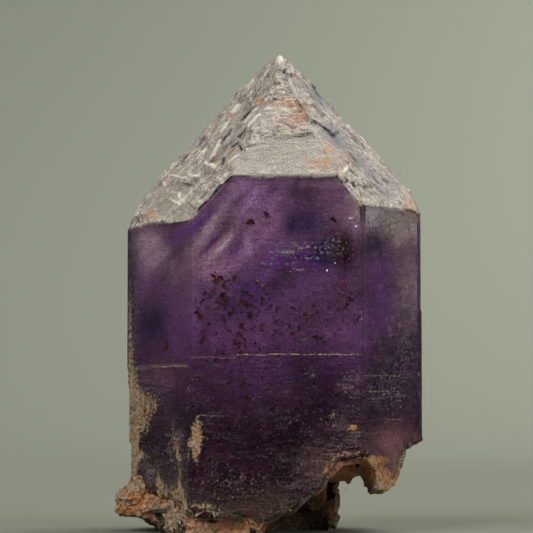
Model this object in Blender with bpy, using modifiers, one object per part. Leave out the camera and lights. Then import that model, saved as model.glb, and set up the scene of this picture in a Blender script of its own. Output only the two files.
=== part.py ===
"""Amethyst point, grown as one solid with its veils and inclusions.

Veils, flakes and fluid films are looks, so they have no solids here.
The crystal stands on its broken root with the c axis along +Z.
The wide prism face looks along -Y.
All lengths are in metres, at real size.
"""

import math

import bmesh
import bpy
from mathutils import Matrix, Vector, noise

MM = 0.001

# Names
PART_NAME = "enhydro_amethyst"
NODE_NAME = "amethyst_crystal"
CUTTER_NAME = "enhydro_amethyst_cutters"

# Prism faces, compass angle from -Y and distance from the c axis
FACE_ANGLES = (0.0, 60.0, 120.0, 180.0, -120.0, -60.0)
PRISM_DISTANCE = (8.86 * MM, 10.60 * MM, 11.02 * MM, 8.60 * MM, 11.30 * MM, 10.62 * MM)

# Termination faces, each set off from the ideal tip
PYRAMID_RISE = math.radians(38.2)
TIP = Vector((0.35 * MM, 0.0, 41.80 * MM))
PYRAMID_OFFSET = (-0.24 * MM, -0.50 * MM, 0.95 * MM, 0.10 * MM, 1.35 * MM, -0.84 * MM)
TIP_CUT = 41.60 * MM
TIP_BUILD = (0.12 * MM, 0.05 * MM, 0.0, 0.10 * MM, 0.20 * MM, 0.42 * MM)

# Steep corner facets under the termination: compass angle, rise, distance from the middle
CORNERS = ((-90.0, 21.0, 21.35 * MM), (90.0, 27.0, 23.80 * MM))

# Growth terraces of the prism faces, height and step below that height
TERRACES = (
    ((15.4 * MM, 0.05 * MM), (3.6 * MM, -0.05 * MM)),
    ((13.6 * MM, 0.06 * MM), (12.2 * MM, 0.18 * MM)),
    ((19.0 * MM, 0.10 * MM), (8.0 * MM, 0.12 * MM)),
    ((16.5 * MM, -0.08 * MM), (11.0 * MM, 0.14 * MM)),
    ((13.0 * MM, -0.12 * MM), (8.0 * MM, -0.26 * MM)),
    ((14.3 * MM, -0.10 * MM), (8.2 * MM, -0.16 * MM)),
)

# Root, top of the rough zone and the height of the rest plane
ROOT_TOP = 2.2 * MM
REST_DEPTH = 0.45 * MM

# Mesh density
VOXEL = 0.26 * MM
SNAP = 0.17 * MM
TRIANGLE_SHARE = 0.085


def prism_normal(angle):
    """Outward normal of the prism face at a compass angle."""
    turn = math.radians(angle)
    return Vector((math.sin(turn), -math.cos(turn), 0.0))


def pyramid_normal(angle):
    """Outward normal of the termination face above a prism face."""
    flat = prism_normal(angle) * math.cos(PYRAMID_RISE)
    return flat + Vector((0.0, 0.0, math.sin(PYRAMID_RISE)))


PRISM_PLANES = [(prism_normal(a), d) for a, d in zip(FACE_ANGLES, PRISM_DISTANCE)]
PYRAMID_PLANES = [
    (pyramid_normal(a), pyramid_normal(a).dot(TIP) + d)
    for a, d in zip(FACE_ANGLES, PYRAMID_OFFSET)
]


def clear_scene():
    """Remove what a new file holds."""
    for item in list(bpy.data.objects):
        bpy.data.objects.remove(item, do_unlink=True)


def new_object(name, bm, collection):
    """Store a bmesh as a named object in a collection."""
    mesh = bpy.data.meshes.new(name)
    bmesh.ops.recalc_face_normals(bm, faces=bm.faces)
    bm.to_mesh(mesh)
    bm.free()
    item = bpy.data.objects.new(name, mesh)
    collection.objects.link(item)
    return item


def split_off(bm, normal, distance):
    """Cut away what lies beyond a plane and close the cut."""
    geometry = bm.verts[:] + bm.edges[:] + bm.faces[:]
    bmesh.ops.bisect_plane(
        bm, geom=geometry, plane_co=normal * distance, plane_no=normal, clear_outer=True
    )
    rim = [edge for edge in bm.edges if edge.is_boundary]
    if rim:
        bmesh.ops.holes_fill(bm, edges=rim)


def point_block():
    """Hexagonal prism with its six sided termination."""
    bm = bmesh.new()
    bmesh.ops.create_cube(bm, size=90.0 * MM)
    for normal, distance in PRISM_PLANES + PYRAMID_PLANES:
        split_off(bm, normal, distance)
    for angle, rise, distance in CORNERS:
        slope = math.radians(rise)
        normal = prism_normal(angle) * math.cos(slope) + Vector((0.0, 0.0, math.sin(slope)))
        split_off(bm, normal, distance)
    split_off(bm, Vector((0.0, 0.0, 1.0)), TIP_CUT)
    split_off(bm, Vector((0.0, 0.0, -1.0)), 1.0 * MM)
    return bm


def lump(centre, radii, tilt, squareness):
    """Rounded block, a sphere stretched and pushed toward a cube."""
    bm = bmesh.new()
    bmesh.ops.create_icosphere(bm, subdivisions=3, radius=1.0)
    for vert in bm.verts:
        longest = max(abs(c) for c in vert.co)
        vert.co = vert.co.lerp(vert.co / longest, squareness)
    place = Matrix.Translation(Vector(centre) * MM) @ Matrix.Rotation(math.radians(tilt), 4, "Y")
    size = Matrix.Diagonal((radii[0] * MM, radii[1] * MM, radii[2] * MM, 1.0))
    bmesh.ops.transform(bm, matrix=place @ size, verts=bm.verts)
    return bm


def slab(outline, near, far, wander):
    """Outline in the front view drawn out along Y, its sides wandering."""
    bm = bmesh.new()
    corners = [bm.verts.new((x * MM, near * MM, z * MM)) for x, z in outline]
    face = bm.faces.new(corners)
    rows = max(int((far - near) / 1.5), 1)
    for row in range(rows):
        drawn = bmesh.ops.extrude_face_region(bm, geom=[face])
        moved = [item for item in drawn["geom"] if isinstance(item, bmesh.types.BMVert)]
        bmesh.ops.translate(bm, vec=(0.0, (far - near) * MM / rows, 0.0), verts=moved)
        fresh = [item for item in drawn["geom"] if isinstance(item, bmesh.types.BMFace)]
        if row:
            bmesh.ops.delete(bm, geom=[face], context="FACES_ONLY")
        face = fresh[0]
    for vert in bm.verts:
        place = Vector((vert.co.x / MM * 0.5, vert.co.y / MM * 0.3, vert.co.z / MM * 0.5))
        depth = abs(vert.co.y / MM + 3.0) / 6.0
        side = noise.noise(place)
        rise = noise.noise(place + Vector((5.3, 1.7, 9.1)))
        vert.co += Vector((side, 0.0, rise)) * (wander + 0.35 * min(depth, 2.0)) * MM
    return bm


# Grown lumps of the root: name, centre, radii, tilt, squareness
LUMPS = (
    ("foot_left", (-11.7, 0.4, 3.0), (2.0, 3.4, 1.55), -8.0, 0.30),
    ("foot_left_top", (-11.2, 0.2, 4.2), (1.35, 2.4, 1.30), -30.0, 0.20),
    ("foot_left_front", (-9.9, -2.6, 2.3), (1.9, 2.4, 1.30), 0.0, 0.35),
)

# Breaks of the root: name, outline in X and Z, near and far Y, wander
BREAKS = (
    (
        "break_right",
        (
            (13.8, 9.2), (12.5, 8.4), (11.9, 7.7), (10.9, 7.4), (10.5, 6.2), (10.1, 5.4),
            (9.7, 4.5), (9.2, 4.1), (8.6, 3.9), (8.1, 3.95), (7.8, 4.5), (7.5, 5.15),
            (7.0, 5.1), (6.4, 4.6), (5.8, 4.1), (5.2, 2.6), (4.8, -3.0), (18.0, -3.0), (18.0, 9.6),
        ),
        -14.0, 14.0, 0.10,
    ),
    (
        "break_front",
        ((-1.2, 1.0), (0.4, 2.05), (2.0, 2.8), (3.0, 3.7), (4.1, 4.6), (6.0, 4.6), (6.0, -3.0), (-1.2, -3.0)),
        -14.0, 0.6, 0.12,
    ),
    (
        "arch",
        ((4.0, 4.0), (4.3, 5.2), (5.0, 5.7), (5.5, 6.25), (6.4, 6.5), (7.4, 6.4), (7.8, 4.0), (6.6, 3.0)),
        -14.0, -2.2, 0.10,
    ),
    (
        "under_left",
        ((-18.0, 1.5), (-12.2, 1.45), (-10.6, 1.35), (-10.1, 1.1), (-9.7, -3.0), (-18.0, -3.0)),
        -14.0, 14.0, 0.10,
    ),
    (
        "ledge_front",
        ((-9.4, 1.9), (-6.0, 1.95), (-2.4, 1.9), (-2.2, -3.0), (-9.4, -3.0)),
        -14.0, -8.25, 0.10,
    ),
)

# Hollows of the underside and the back: name, centre, radii, tilt, squareness
HOLLOWS = (
    ("lobe_front", (8.2, -7.9, 5.2), (1.15, 1.9, 1.25), 0.0, 0.25),
    ("lobe_left", (7.0, -8.2, 4.6), (1.1, 3.6, 1.7), 0.0, 0.30),
    ("hollow_back_right", (8.2, 8.6, 2.4), (4.4, 3.6, 4.4), -10.0, 0.30),
    ("hollow_step", (1.6, 0.4, 1.0), (2.6, 1.9, 1.7), 20.0, 0.20),
    ("hollow_arch_back", (7.4, 2.6, 4.6), (2.4, 2.2, 1.5), 10.0, 0.20),
    ("hollow_back_left", (-8.4, 7.4, -0.2), (3.6, 4.2, 2.2), 0.0, 0.40),
    ("hollow_middle", (-3.0, 0.6, -0.6), (1.9, 2.6, 1.9), 12.0, 0.30),
    ("hollow_left", (-8.4, 0.8, -0.6), (1.8, 2.6, 1.7), 0.0, 0.30),
)


def baked_copy(item):
    """Mesh of an object with its modifiers applied."""
    graph = bpy.context.evaluated_depsgraph_get()
    return bpy.data.meshes.new_from_object(item.evaluated_get(graph), depsgraph=graph)


def add_boolean(item, other, operation):
    """Join or cut with the exact solver."""
    step = item.modifiers.new(other.name, "BOOLEAN")
    step.operation = operation
    step.solver = "EXACT"
    step.object = other


def fade(value, low, high):
    """Smooth step from 0 at low to 1 at high."""
    t = min(max((value - low) / (high - low), 0.0), 1.0)
    return t * t * (3.0 - 2.0 * t)


def terrace_step(index, height, along):
    """Growth step of a prism face at a height."""
    total = 0.0
    for level, step in TERRACES[index]:
        wander = 0.5 * MM * noise.noise(Vector((along / (7.0 * MM), level / (3.0 * MM), index * 3.1)))
        total += step * fade(level + wander - height, -0.1 * MM, 0.2 * MM)
    return total


def skeletal_relief(index, position):
    """Streaks down the slope and stepped ledges of a termination face."""
    normal = PYRAMID_PLANES[index][0]
    across = Vector((0.0, 0.0, 1.0)).cross(normal).normalized()
    u = position.dot(across) / MM
    v = (TIP.z - position.z) / MM
    seed = 11.0 * index
    streak = noise.fractal(Vector((u * 0.85, v * 0.16, seed)), 0.9, 2.1, 4)
    pits = noise.noise(Vector((u * 0.9, v * 0.55, seed + 4.0)))
    ledge = noise.noise(Vector((u * 0.22, v * 0.42, seed + 8.0)))
    depth = 0.13 * streak + 0.10 * pits
    depth -= 0.26 * fade(ledge, 0.05, 0.14)
    depth -= 0.16 * fade(-ledge, 0.22, 0.30)
    calm = 1.0
    if index == 0:
        calm = 1.0 - 0.85 * fade(v, 8.0, 9.0) * fade(5.5 - abs(u + 0.4), 0.0, 1.0)
    return depth * calm * MM


def broken_relief(position):
    """Lumpy, granular relief of broken and overgrown root."""
    p = position / MM
    coarse = noise.fractal(p * 0.38, 0.8, 2.2, 3)
    cell = noise.cell(p * 0.9 + Vector((3.1, 7.7, 1.3)))
    grain = noise.turbulence(p * 1.1, 3, True)
    return (0.50 * coarse + 0.18 * (cell - 0.5) + 0.22 * (grain - 0.5)) * MM


def root_share(position):
    """One in the rough root, zero on the clean prism."""
    p = position / MM
    edge = ROOT_TOP / MM
    edge += 1.1 * noise.noise(Vector((p.x * 0.4, p.y * 0.4, 2.0)))
    edge += 1.6 * fade(-p.x, 4.0, 11.0) + 1.5 * fade(p.x, 6.0, 12.0)
    return 1.0 - fade(p.z, edge - 0.9, edge + 0.5)


def settle(position):
    """Nearest place on the flat faces and whether a face is near."""
    target = position.copy()
    near = False
    for turn in range(3):
        for normal, distance in PRISM_PLANES + PYRAMID_PLANES:
            gap = normal.dot(target) - distance
            if abs(gap) < SNAP:
                target -= normal * gap
                near = True
    return target, near


def terrace_push(target):
    """Growth steps of the prism faces that a place lies on."""
    push = Vector((0.0, 0.0, 0.0))
    for index, (normal, distance) in enumerate(PRISM_PLANES):
        if abs(normal.dot(target) - distance) < 1e-6:
            across = Vector((0.0, 0.0, 1.0)).cross(normal)
            push += normal * terrace_step(index, target.z, target.dot(across))
    return push


def shape_surface(bm):
    """Set flat faces true and give the rest its relief."""
    bm.normal_update()
    moves = []
    for vert in bm.verts:
        start = vert.co.copy()
        target, flat = settle(start)
        tip = fade(start.z, 37.5 * MM, 40.5 * MM)
        rough = root_share(start)
        if not flat:
            rough = max(rough, 1.0 - fade(start.z, 9.0 * MM, 10.0 * MM))
        push = terrace_push(target)
        for index, (normal, distance) in enumerate(PYRAMID_PLANES):
            if abs(normal.dot(target) - distance) < 1e-6:
                push += normal * skeletal_relief(index, target) * (1.0 - 0.5 * tip)
                push += normal * TIP_BUILD[index] * tip
        if not flat and start.z > 25.0 * MM:
            push += vert.normal * 0.3 * broken_relief(start)
        push += vert.normal * broken_relief(start) * rough
        moves.append((vert, target + push))
    for vert, place in moves:
        vert.co = place


def flatten_faces(bm):
    """Set the corners left on the prism faces true again."""
    for vert in bm.verts:
        if root_share(vert.co) > 0.02:
            continue
        for index, (normal, distance) in enumerate(PRISM_PLANES):
            across = Vector((0.0, 0.0, 1.0)).cross(normal)
            level = distance + terrace_step(index, vert.co.z, vert.co.dot(across))
            gap = normal.dot(vert.co) - level
            if abs(gap) < 0.05 * MM:
                vert.co -= normal * gap


def crystal_material():
    """Clear violet quartz."""
    material = bpy.data.materials.new("amethyst quartz")
    material.use_nodes = True
    shader = material.node_tree.nodes["Principled BSDF"]
    shader.inputs["Base Color"].default_value = (0.16, 0.07, 0.20, 1.0)
    shader.inputs["Roughness"].default_value = 0.12
    shader.inputs["IOR"].default_value = 1.544
    return material


def build():
    """Grow, break, texture and store the crystal."""
    clear_scene()
    part = bpy.data.collections.new(PART_NAME)
    bpy.context.scene.collection.children.link(part)
    cutters = bpy.data.collections.new(CUTTER_NAME)
    bpy.context.scene.collection.children.link(cutters)
    block = new_object("point_block", point_block(), cutters)
    for name, centre, radii, tilt, squareness in LUMPS:
        add_boolean(block, new_object(name, lump(centre, radii, tilt, squareness), cutters), "UNION")
    for name, outline, near, far, wander in BREAKS:
        add_boolean(block, new_object(name, slab(outline, near, far, wander), cutters), "DIFFERENCE")
    for name, centre, radii, tilt, squareness in HOLLOWS:
        add_boolean(block, new_object(name, lump(centre, radii, tilt, squareness), cutters), "DIFFERENCE")
    grid = block.modifiers.new("even mesh", "REMESH")
    grid.mode = "VOXEL"
    grid.voxel_size = VOXEL
    bpy.context.view_layer.update()
    bm = bmesh.new()
    bm.from_mesh(baked_copy(block))
    shape_surface(bm)
    bmesh.ops.triangulate(bm, faces=bm.faces)
    body = new_object("dense_crystal", bm, cutters)
    thin = body.modifiers.new("fewer triangles", "DECIMATE")
    thin.ratio = TRIANGLE_SHARE
    bpy.context.view_layer.update()
    bm = bmesh.new()
    bm.from_mesh(baked_copy(body))
    flatten_faces(bm)
    split_off(bm, Vector((0.0, 0.0, -1.0)), -REST_DEPTH)
    bmesh.ops.triangulate(bm, faces=bm.faces)
    xs = [vert.co.x for vert in bm.verts]
    ys = [vert.co.y for vert in bm.verts]
    middle = Vector(((min(xs) + max(xs)) / 2, (min(ys) + max(ys)) / 2, REST_DEPTH))
    bmesh.ops.translate(bm, vec=-middle, verts=bm.verts)
    crystal = new_object(NODE_NAME, bm, part)
    crystal.data.materials.append(crystal_material())
    for helper in cutters.objects:
        helper.hide_render = True
        helper.display_type = "WIRE"
    print("c axis stands at", round(-middle.x / MM, 4), round(-middle.y / MM, 4), "mm")


build()
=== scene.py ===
"""Looks of an amethyst point with phantom veils and dark red flakes."""

import logging
import math
import random
from dataclasses import dataclass, field
from enum import IntEnum

import bmesh
import bpy
import numpy as np
from mathutils import Matrix, Vector, noise
from mathutils.bvhtree import BVHTree

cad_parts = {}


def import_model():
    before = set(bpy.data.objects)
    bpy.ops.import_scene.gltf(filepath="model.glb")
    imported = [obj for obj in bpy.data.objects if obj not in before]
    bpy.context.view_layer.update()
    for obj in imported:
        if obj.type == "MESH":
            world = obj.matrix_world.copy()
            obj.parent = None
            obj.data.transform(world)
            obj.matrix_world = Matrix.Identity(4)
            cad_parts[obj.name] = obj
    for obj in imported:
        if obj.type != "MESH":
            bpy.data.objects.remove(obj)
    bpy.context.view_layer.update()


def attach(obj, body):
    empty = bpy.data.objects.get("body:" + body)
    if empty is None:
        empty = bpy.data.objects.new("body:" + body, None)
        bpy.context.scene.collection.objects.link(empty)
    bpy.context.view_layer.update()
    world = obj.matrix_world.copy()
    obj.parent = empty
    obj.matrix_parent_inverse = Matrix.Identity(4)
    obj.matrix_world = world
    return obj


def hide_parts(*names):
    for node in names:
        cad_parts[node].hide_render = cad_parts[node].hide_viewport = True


LOG = logging.getLogger("amethyst")
MM = 0.001
NODE = "amethyst_crystal"
UP = np.array([0.0, 0.0, 1.0])

Triple = tuple[float, float, float]
Colour = tuple[float, float, float, float]
Socket = bpy.types.NodeSocket


class Zone(IntEnum):
    """Kinds of surface on the crystal."""

    PRISM = 0
    TERMINATION = 1
    ROOT = 2


class Side(IntEnum):
    """The six faces of the prism, and of the termination over them."""

    FRONT = 0
    RIGHT = 1
    BACK_RIGHT = 2
    BACK = 3
    BACK_LEFT = 4
    LEFT = 5


def linear(code: str) -> Colour:
    """Turn an sRGB hex colour into linear RGBA.

    Args:
        code: Six hex digits.

    Returns:
        Linear red, green, blue and an alpha of 1.
    """
    values = []
    for start in (0, 2, 4):
        level = int(code[start : start + 2], 16) / 255.0
        values.append(level / 12.92 if level <= 0.04045 else ((level + 0.055) / 1.055) ** 2.4)
    return values[0], values[1], values[2], 1.0


def fade(value: np.ndarray, low: float, high: float) -> np.ndarray:
    """Smooth step.

    Args:
        value: Numbers to read.
        low: Value that gives 0.
        high: Value that gives 1.

    Returns:
        Shares from 0 to 1.
    """
    t = np.clip((value - low) / (high - low), 0.0, 1.0)
    return t * t * (3.0 - 2.0 * t)


def noise_at(
    points: np.ndarray, scale: Triple | float, seed: float = 0.0, octaves: int = 3
) -> np.ndarray:
    """Fractal noise at many places.

    Args:
        points: Places in millimetres, one row each.
        scale: Cells to a millimetre, one number or three.
        seed: Shift that gives another pattern.
        octaves: Number of layers of detail.

    Returns:
        One value a row, about -1 to 1.
    """
    scaled = points * np.asarray(scale) + np.array([0.0, seed * 0.37, seed])
    return np.array([noise.fractal(Vector(row), 0.9, 2.1, octaves) for row in scaled])


def threads_at(points: np.ndarray, scale: Triple, seed: float, width: float) -> np.ndarray:
    """Thin winding lines where a noise field crosses zero.

    Args:
        points: Places in millimetres, one row each.
        scale: Cells to a millimetre along each axis.
        seed: Shift that gives another pattern.
        width: Width of a line in noise units.

    Returns:
        1 on a line, 0 away from it.
    """
    value = np.abs(noise_at(points, scale, seed, 2))
    return np.clip(1.0 - value / width, 0.0, 1.0)


@dataclass(frozen=True)
class PhotoView:
    """How the photograph looks at the crystal, in millimetres from the foot of the c axis.

    Attributes:
        pixel: Size of an image pixel at the c axis.
        front_pixel: Size of an image pixel on the front face.
        distance: Camera distance.
        tilt: Camera elevation in degrees.
        turned: Cosine and sine of the tilt, to four digits.
        frame: Width and height of the image in pixels.
        foot: Pixel of the foot of the c axis.
        middle: Sideways and upward place of the image's middle, to 0.01 mm.
        sink: How much lower the tilt shows the front face than the c axis.
    """

    pixel: float = 0.0856
    front_pixel: float = 0.0822
    distance: float = 220.0
    tilt: float = -3.0
    turned: tuple[float, float] = (0.9986, 0.0523)
    frame: float = 533.0
    foot: tuple[float, float] = (275.0, 535.0)
    middle: tuple[float, float] = (-0.73, 22.98)
    sink: float = 0.46

    def seen(self, local: np.ndarray) -> tuple[np.ndarray, np.ndarray]:
        """Place in the front view, at the scale of the c axis.

        Args:
            local: Places in millimetres from the foot of the c axis.

        Returns:
            Sideways places and heights in millimetres.
        """
        middle, level = self.middle
        main, small = self.turned
        rise = local[:, 2] - level
        depth = self.distance + main * local[:, 1] + small * rise
        lift = main * rise - small * local[:, 1]
        across = (local[:, 0] - middle) * self.distance / depth
        return middle + across, level + lift * self.distance / depth

    def aim(self) -> Triple:
        """Point of the c axis plane in the middle of the image."""
        half = self.frame / 2
        return (half - self.foot[0]) * self.pixel, 0.0, (self.foot[1] - half) * self.pixel


PHOTO = PhotoView()


@dataclass(frozen=True)
class Habit:
    """Crystal faces of the point, in millimetres from the foot of the c axis.

    Attributes:
        angles: Directions of the six faces, counted from the front to the right.
        prism: Distances of the prism faces from the c axis.
        rise: Slope of the termination faces against the c axis, in degrees.
        tip: Point where the termination faces would meet.
        pyramid: Shift of each termination face along its normal.
        axis: Foot of the c axis in the frame.
        turns: Direction of the grain on each termination face, from level to up the slope.
        shift: Shift of the grain from face to face, more than a face is wide.
        steps: Depth of the growth steps that still belong to a prism face.
        root_top: Height over which every bit on a prism plane belongs to its face.
    """

    angles: tuple[float, ...] = (0.0, 60.0, 120.0, 180.0, -120.0, -60.0)
    prism: tuple[float, ...] = (8.86, 10.60, 11.02, 8.60, 11.30, 10.62)
    rise: float = 38.2
    tip: Triple = (0.35, 0.0, 41.80)
    pyramid: tuple[float, ...] = (-0.24, -0.50, 0.95, 0.10, 1.35, -0.84)
    axis: Triple = (0.5162, -0.0438, -0.45)
    turns: tuple[float, ...] = (8.0, 100.0, 80.0, 10.0, 95.0, 84.0)
    shift: float = 17.0
    steps: float = 0.42
    root_top: float = 7.0

    def local(self, places: np.ndarray) -> np.ndarray:
        """Millimetres from the foot of the c axis for places in metres."""
        return places / MM - np.array(self.axis)

    def world(self, place: Triple) -> Vector:
        """Place in metres for millimetres from the foot of the c axis."""
        return (Vector(place) + Vector(self.axis)) * MM

    def prism_normals(self) -> np.ndarray:
        """Outward normals of the six prism faces."""
        turns = np.radians(self.angles)
        return np.stack([np.sin(turns), -np.cos(turns), np.zeros(len(turns))], axis=1)

    def pyramid_normals(self) -> np.ndarray:
        """Outward normals of the six termination faces."""
        slope = math.radians(self.rise)
        return self.prism_normals() * math.cos(slope) + UP * math.sin(slope)

    def gaps(self, local: np.ndarray) -> tuple[np.ndarray, np.ndarray]:
        """Distances from the planes of the faces, above zero outside.

        Args:
            local: Places in millimetres.

        Returns:
            Six columns for the prism faces and six for the termination faces.
        """
        sides = local @ self.prism_normals().T - np.array(self.prism)
        tops = (local - np.array(self.tip)) @ self.pyramid_normals().T - np.array(self.pyramid)
        return sides, tops

    def zones(self, local: np.ndarray, normals: np.ndarray) -> tuple[np.ndarray, np.ndarray]:
        """Kind and number of the crystal face that each bit of surface belongs to.

        Args:
            local: Centres in millimetres.
            normals: Outward normals.

        Returns:
            Zone values, and face numbers counted round the prism.
        """
        sides, tops = self.gaps(local)
        side = sides.argmax(axis=1)
        highest = tops.max(axis=1)
        widest = sides.max(axis=1)
        facing = normals @ self.prism_normals().T
        kind = np.full(len(local), int(Zone.ROOT))
        number = facing.argmax(axis=1)
        row = np.arange(len(local))
        ahead = facing[row, number]
        # Bits that look straight out of a prism face and lie on it or on its steps
        straight = (ahead > 0.93) & (np.abs(sides[row, number]) < self.steps)
        # Bits on a prism plane that are turned a little, as at a step or a corner
        bevel = (ahead > 0.80) & (np.abs(normals[:, 2]) < 0.25)
        near = np.abs(widest) < 0.30
        flat = straight | (near & (bevel | (local[:, 2] > self.root_top)))
        kind[flat] = Zone.PRISM
        number = np.where(flat & ~straight, side, number)
        # Bits at or over a termination plane that don't look out of a prism face
        top = (highest > -0.75) & (highest > widest - 0.05) & (ahead < 0.97)
        kind[top] = Zone.TERMINATION
        number[top] = tops.argmax(axis=1)[top]
        return kind, number

    def grain(self, local: np.ndarray, kind: np.ndarray, number: np.ndarray) -> np.ndarray:
        """Places along and across the grain of each crystal face.

        Args:
            local: Places in millimetres.
            kind: Zone value of each place.
            number: Face number of each place.

        Returns:
            Two columns in millimetres, the first shifted from face to face.
        """
        level = np.cross(UP, self.prism_normals()[number])
        top = (kind == Zone.TERMINATION)[:, None]
        normal = np.where(top, self.pyramid_normals()[number], self.prism_normals()[number])
        slope = np.cross(normal, level)
        turn = np.radians(np.array(self.turns))[number][:, None] * top
        along = level * np.cos(turn) + slope * np.sin(turn)
        across = slope * np.cos(turn) - level * np.sin(turn)
        first = (local * along).sum(axis=1) + self.shift * number
        return np.stack([first, (local * across).sum(axis=1)], axis=1)


HABIT = Habit()


@dataclass(frozen=True)
class Patch:
    """Soft oval zone in the front view.

    Attributes:
        x: Sideways place in millimetres.
        z: Height in millimetres.
        wide: Half width.
        high: Half height.
        strength: Value in the middle.
        lean: Turn to the left in degrees.
    """

    x: float
    z: float
    wide: float
    high: float
    strength: float = 1.0
    lean: float = 0.0

    def at(self, x: np.ndarray, z: np.ndarray) -> np.ndarray:
        """Value of the zone at many places."""
        turn = math.radians(self.lean)
        across = (x - self.x) * math.cos(turn) + (z - self.z) * math.sin(turn)
        along = (z - self.z) * math.cos(turn) - (x - self.x) * math.sin(turn)
        return self.strength * np.exp(-((across / self.wide) ** 2) - (along / self.high) ** 2)


def summed(shapes: tuple["Patch | Ridge", ...], x: np.ndarray, z: np.ndarray) -> np.ndarray:
    """Sum of several zones or ridges at many places."""
    return sum(shape.at(x, z) for shape in shapes)


@dataclass(frozen=True)
class GrowthLine:
    """Thin beige line on a prism face where growth paused.

    Attributes:
        height: Height in millimetres.
        start: First end along the face's grain, which is shifted from face to face.
        end: Last end along the face's grain.
        strength: Density of the mineral dust in it.
    """

    height: float
    start: float
    end: float
    strength: float


@dataclass(frozen=True)
class Ridge:
    """Blade or crevice of the etched skin, placed in the front view.

    Attributes:
        x: Sideways place of its middle in millimetres.
        z: Height of its middle.
        long: Half length.
        wide: Half width.
        rise: Height over the skin, below zero for a crevice.
        lean: Direction of its length, counted from level to up in degrees.
    """

    x: float
    z: float
    long: float
    wide: float
    rise: float
    lean: float

    def at(self, x: np.ndarray, z: np.ndarray) -> np.ndarray:
        """Height of the ridge at many places."""
        turn = math.radians(self.lean)
        along = (x - self.x) * math.cos(turn) + (z - self.z) * math.sin(turn)
        across = (z - self.z) * math.cos(turn) - (x - self.x) * math.sin(turn)
        taper = np.clip(1.0 - (along / self.long) ** 2, 0.0, 1.0)
        side = np.clip(1.5 - 1.5 * np.abs(across) / self.wide, 0.0, 1.0)
        return self.rise * np.sqrt(taper) * side


class Nodes:
    """Node tree of one material or world."""

    def __init__(self, owner: bpy.types.ID) -> None:
        """Empty the owner's node tree."""
        owner.use_nodes = True
        self.owner = owner
        self.tree = owner.node_tree
        self.tree.nodes.clear()

    def add(
        self,
        kind: str,
        values: dict[int | str, object] | None = None,
        out: int | str = 0,
        **settings: object,
    ) -> Socket | bpy.types.Node:
        """Add a node with its settings, values and links.

        Args:
            kind: Node type without the ShaderNode prefix.
            values: Input values or sockets by the input's name or number.
            out: Name or number of the output wanted.
            settings: Node properties.

        Returns:
            The output socket, or the node where it has no output.
        """
        node = self.tree.nodes.new("ShaderNode" + kind)
        for name, value in settings.items():
            setattr(node, name, value)
        for name, value in (values or {}).items():
            if isinstance(value, bpy.types.NodeSocket):
                self.tree.links.new(value, node.inputs[name])
            else:
                node.inputs[name].default_value = value
        return node.outputs[out] if node.outputs else node

    def pattern(
        self, place: Socket, grain: Triple, detail: float = 3.0, rough: float = 0.6
    ) -> Socket:
        """Noise whose cells have a real size.

        Args:
            place: Coordinates in millimetres.
            grain: Cell size along each axis in millimetres.
            detail: Layers of finer noise.
            rough: Share of the finer layers.

        Returns:
            Noise value, 0.5 on the average.
        """
        cells = tuple(1.0 / size for size in grain)
        scaled = self.add("Mapping", {"Vector": place, "Scale": cells})
        layers = {"Vector": scaled, "Scale": 1.0, "Detail": detail, "Roughness": rough}
        return self.add("TexNoise", layers)

    def worn(
        self, name: str, pattern: Socket, depth: float, low: float, high: float, most: float
    ) -> Socket:
        """Mask of the mesh with an edge broken up by a pattern.

        Args:
            name: Name of the mask.
            pattern: Noise value, 0.5 on the average.
            depth: How far the pattern moves the edge.
            low: Mask value that gives nothing.
            high: Mask value that gives the full share.
            most: The full share.

        Returns:
            Share from 0 to most.
        """
        mask = self.add("Attribute", out="Fac", attribute_name=name)
        moved = self.add("Math", {0: pattern, 1: depth, 2: mask}, operation="MULTIPLY_ADD")
        ends = {"From Min": low + depth / 2, "From Max": high + depth / 2, "To Max": most}
        return self.add("MapRange", {"Value": moved, **ends}, interpolation_type="SMOOTHSTEP")

    def place(self) -> Socket:
        """Object coordinates in millimetres."""
        metres = self.add("TexCoord", out="Object")
        return self.add("VectorMath", {0: metres, "Scale": 1.0 / MM}, operation="SCALE")

    def close(self, surface: Socket, volume: Socket | None = None) -> bpy.types.Material:
        """Link the shaders to the output.

        Args:
            surface: Shader of the surface.
            volume: Shader of the inside.

        Returns:
            The finished material.
        """
        output = self.add("OutputMaterial")
        self.tree.links.new(surface, output.inputs["Surface"])
        if volume is not None:
            self.tree.links.new(volume, output.inputs["Volume"])
        return self.owner


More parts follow.
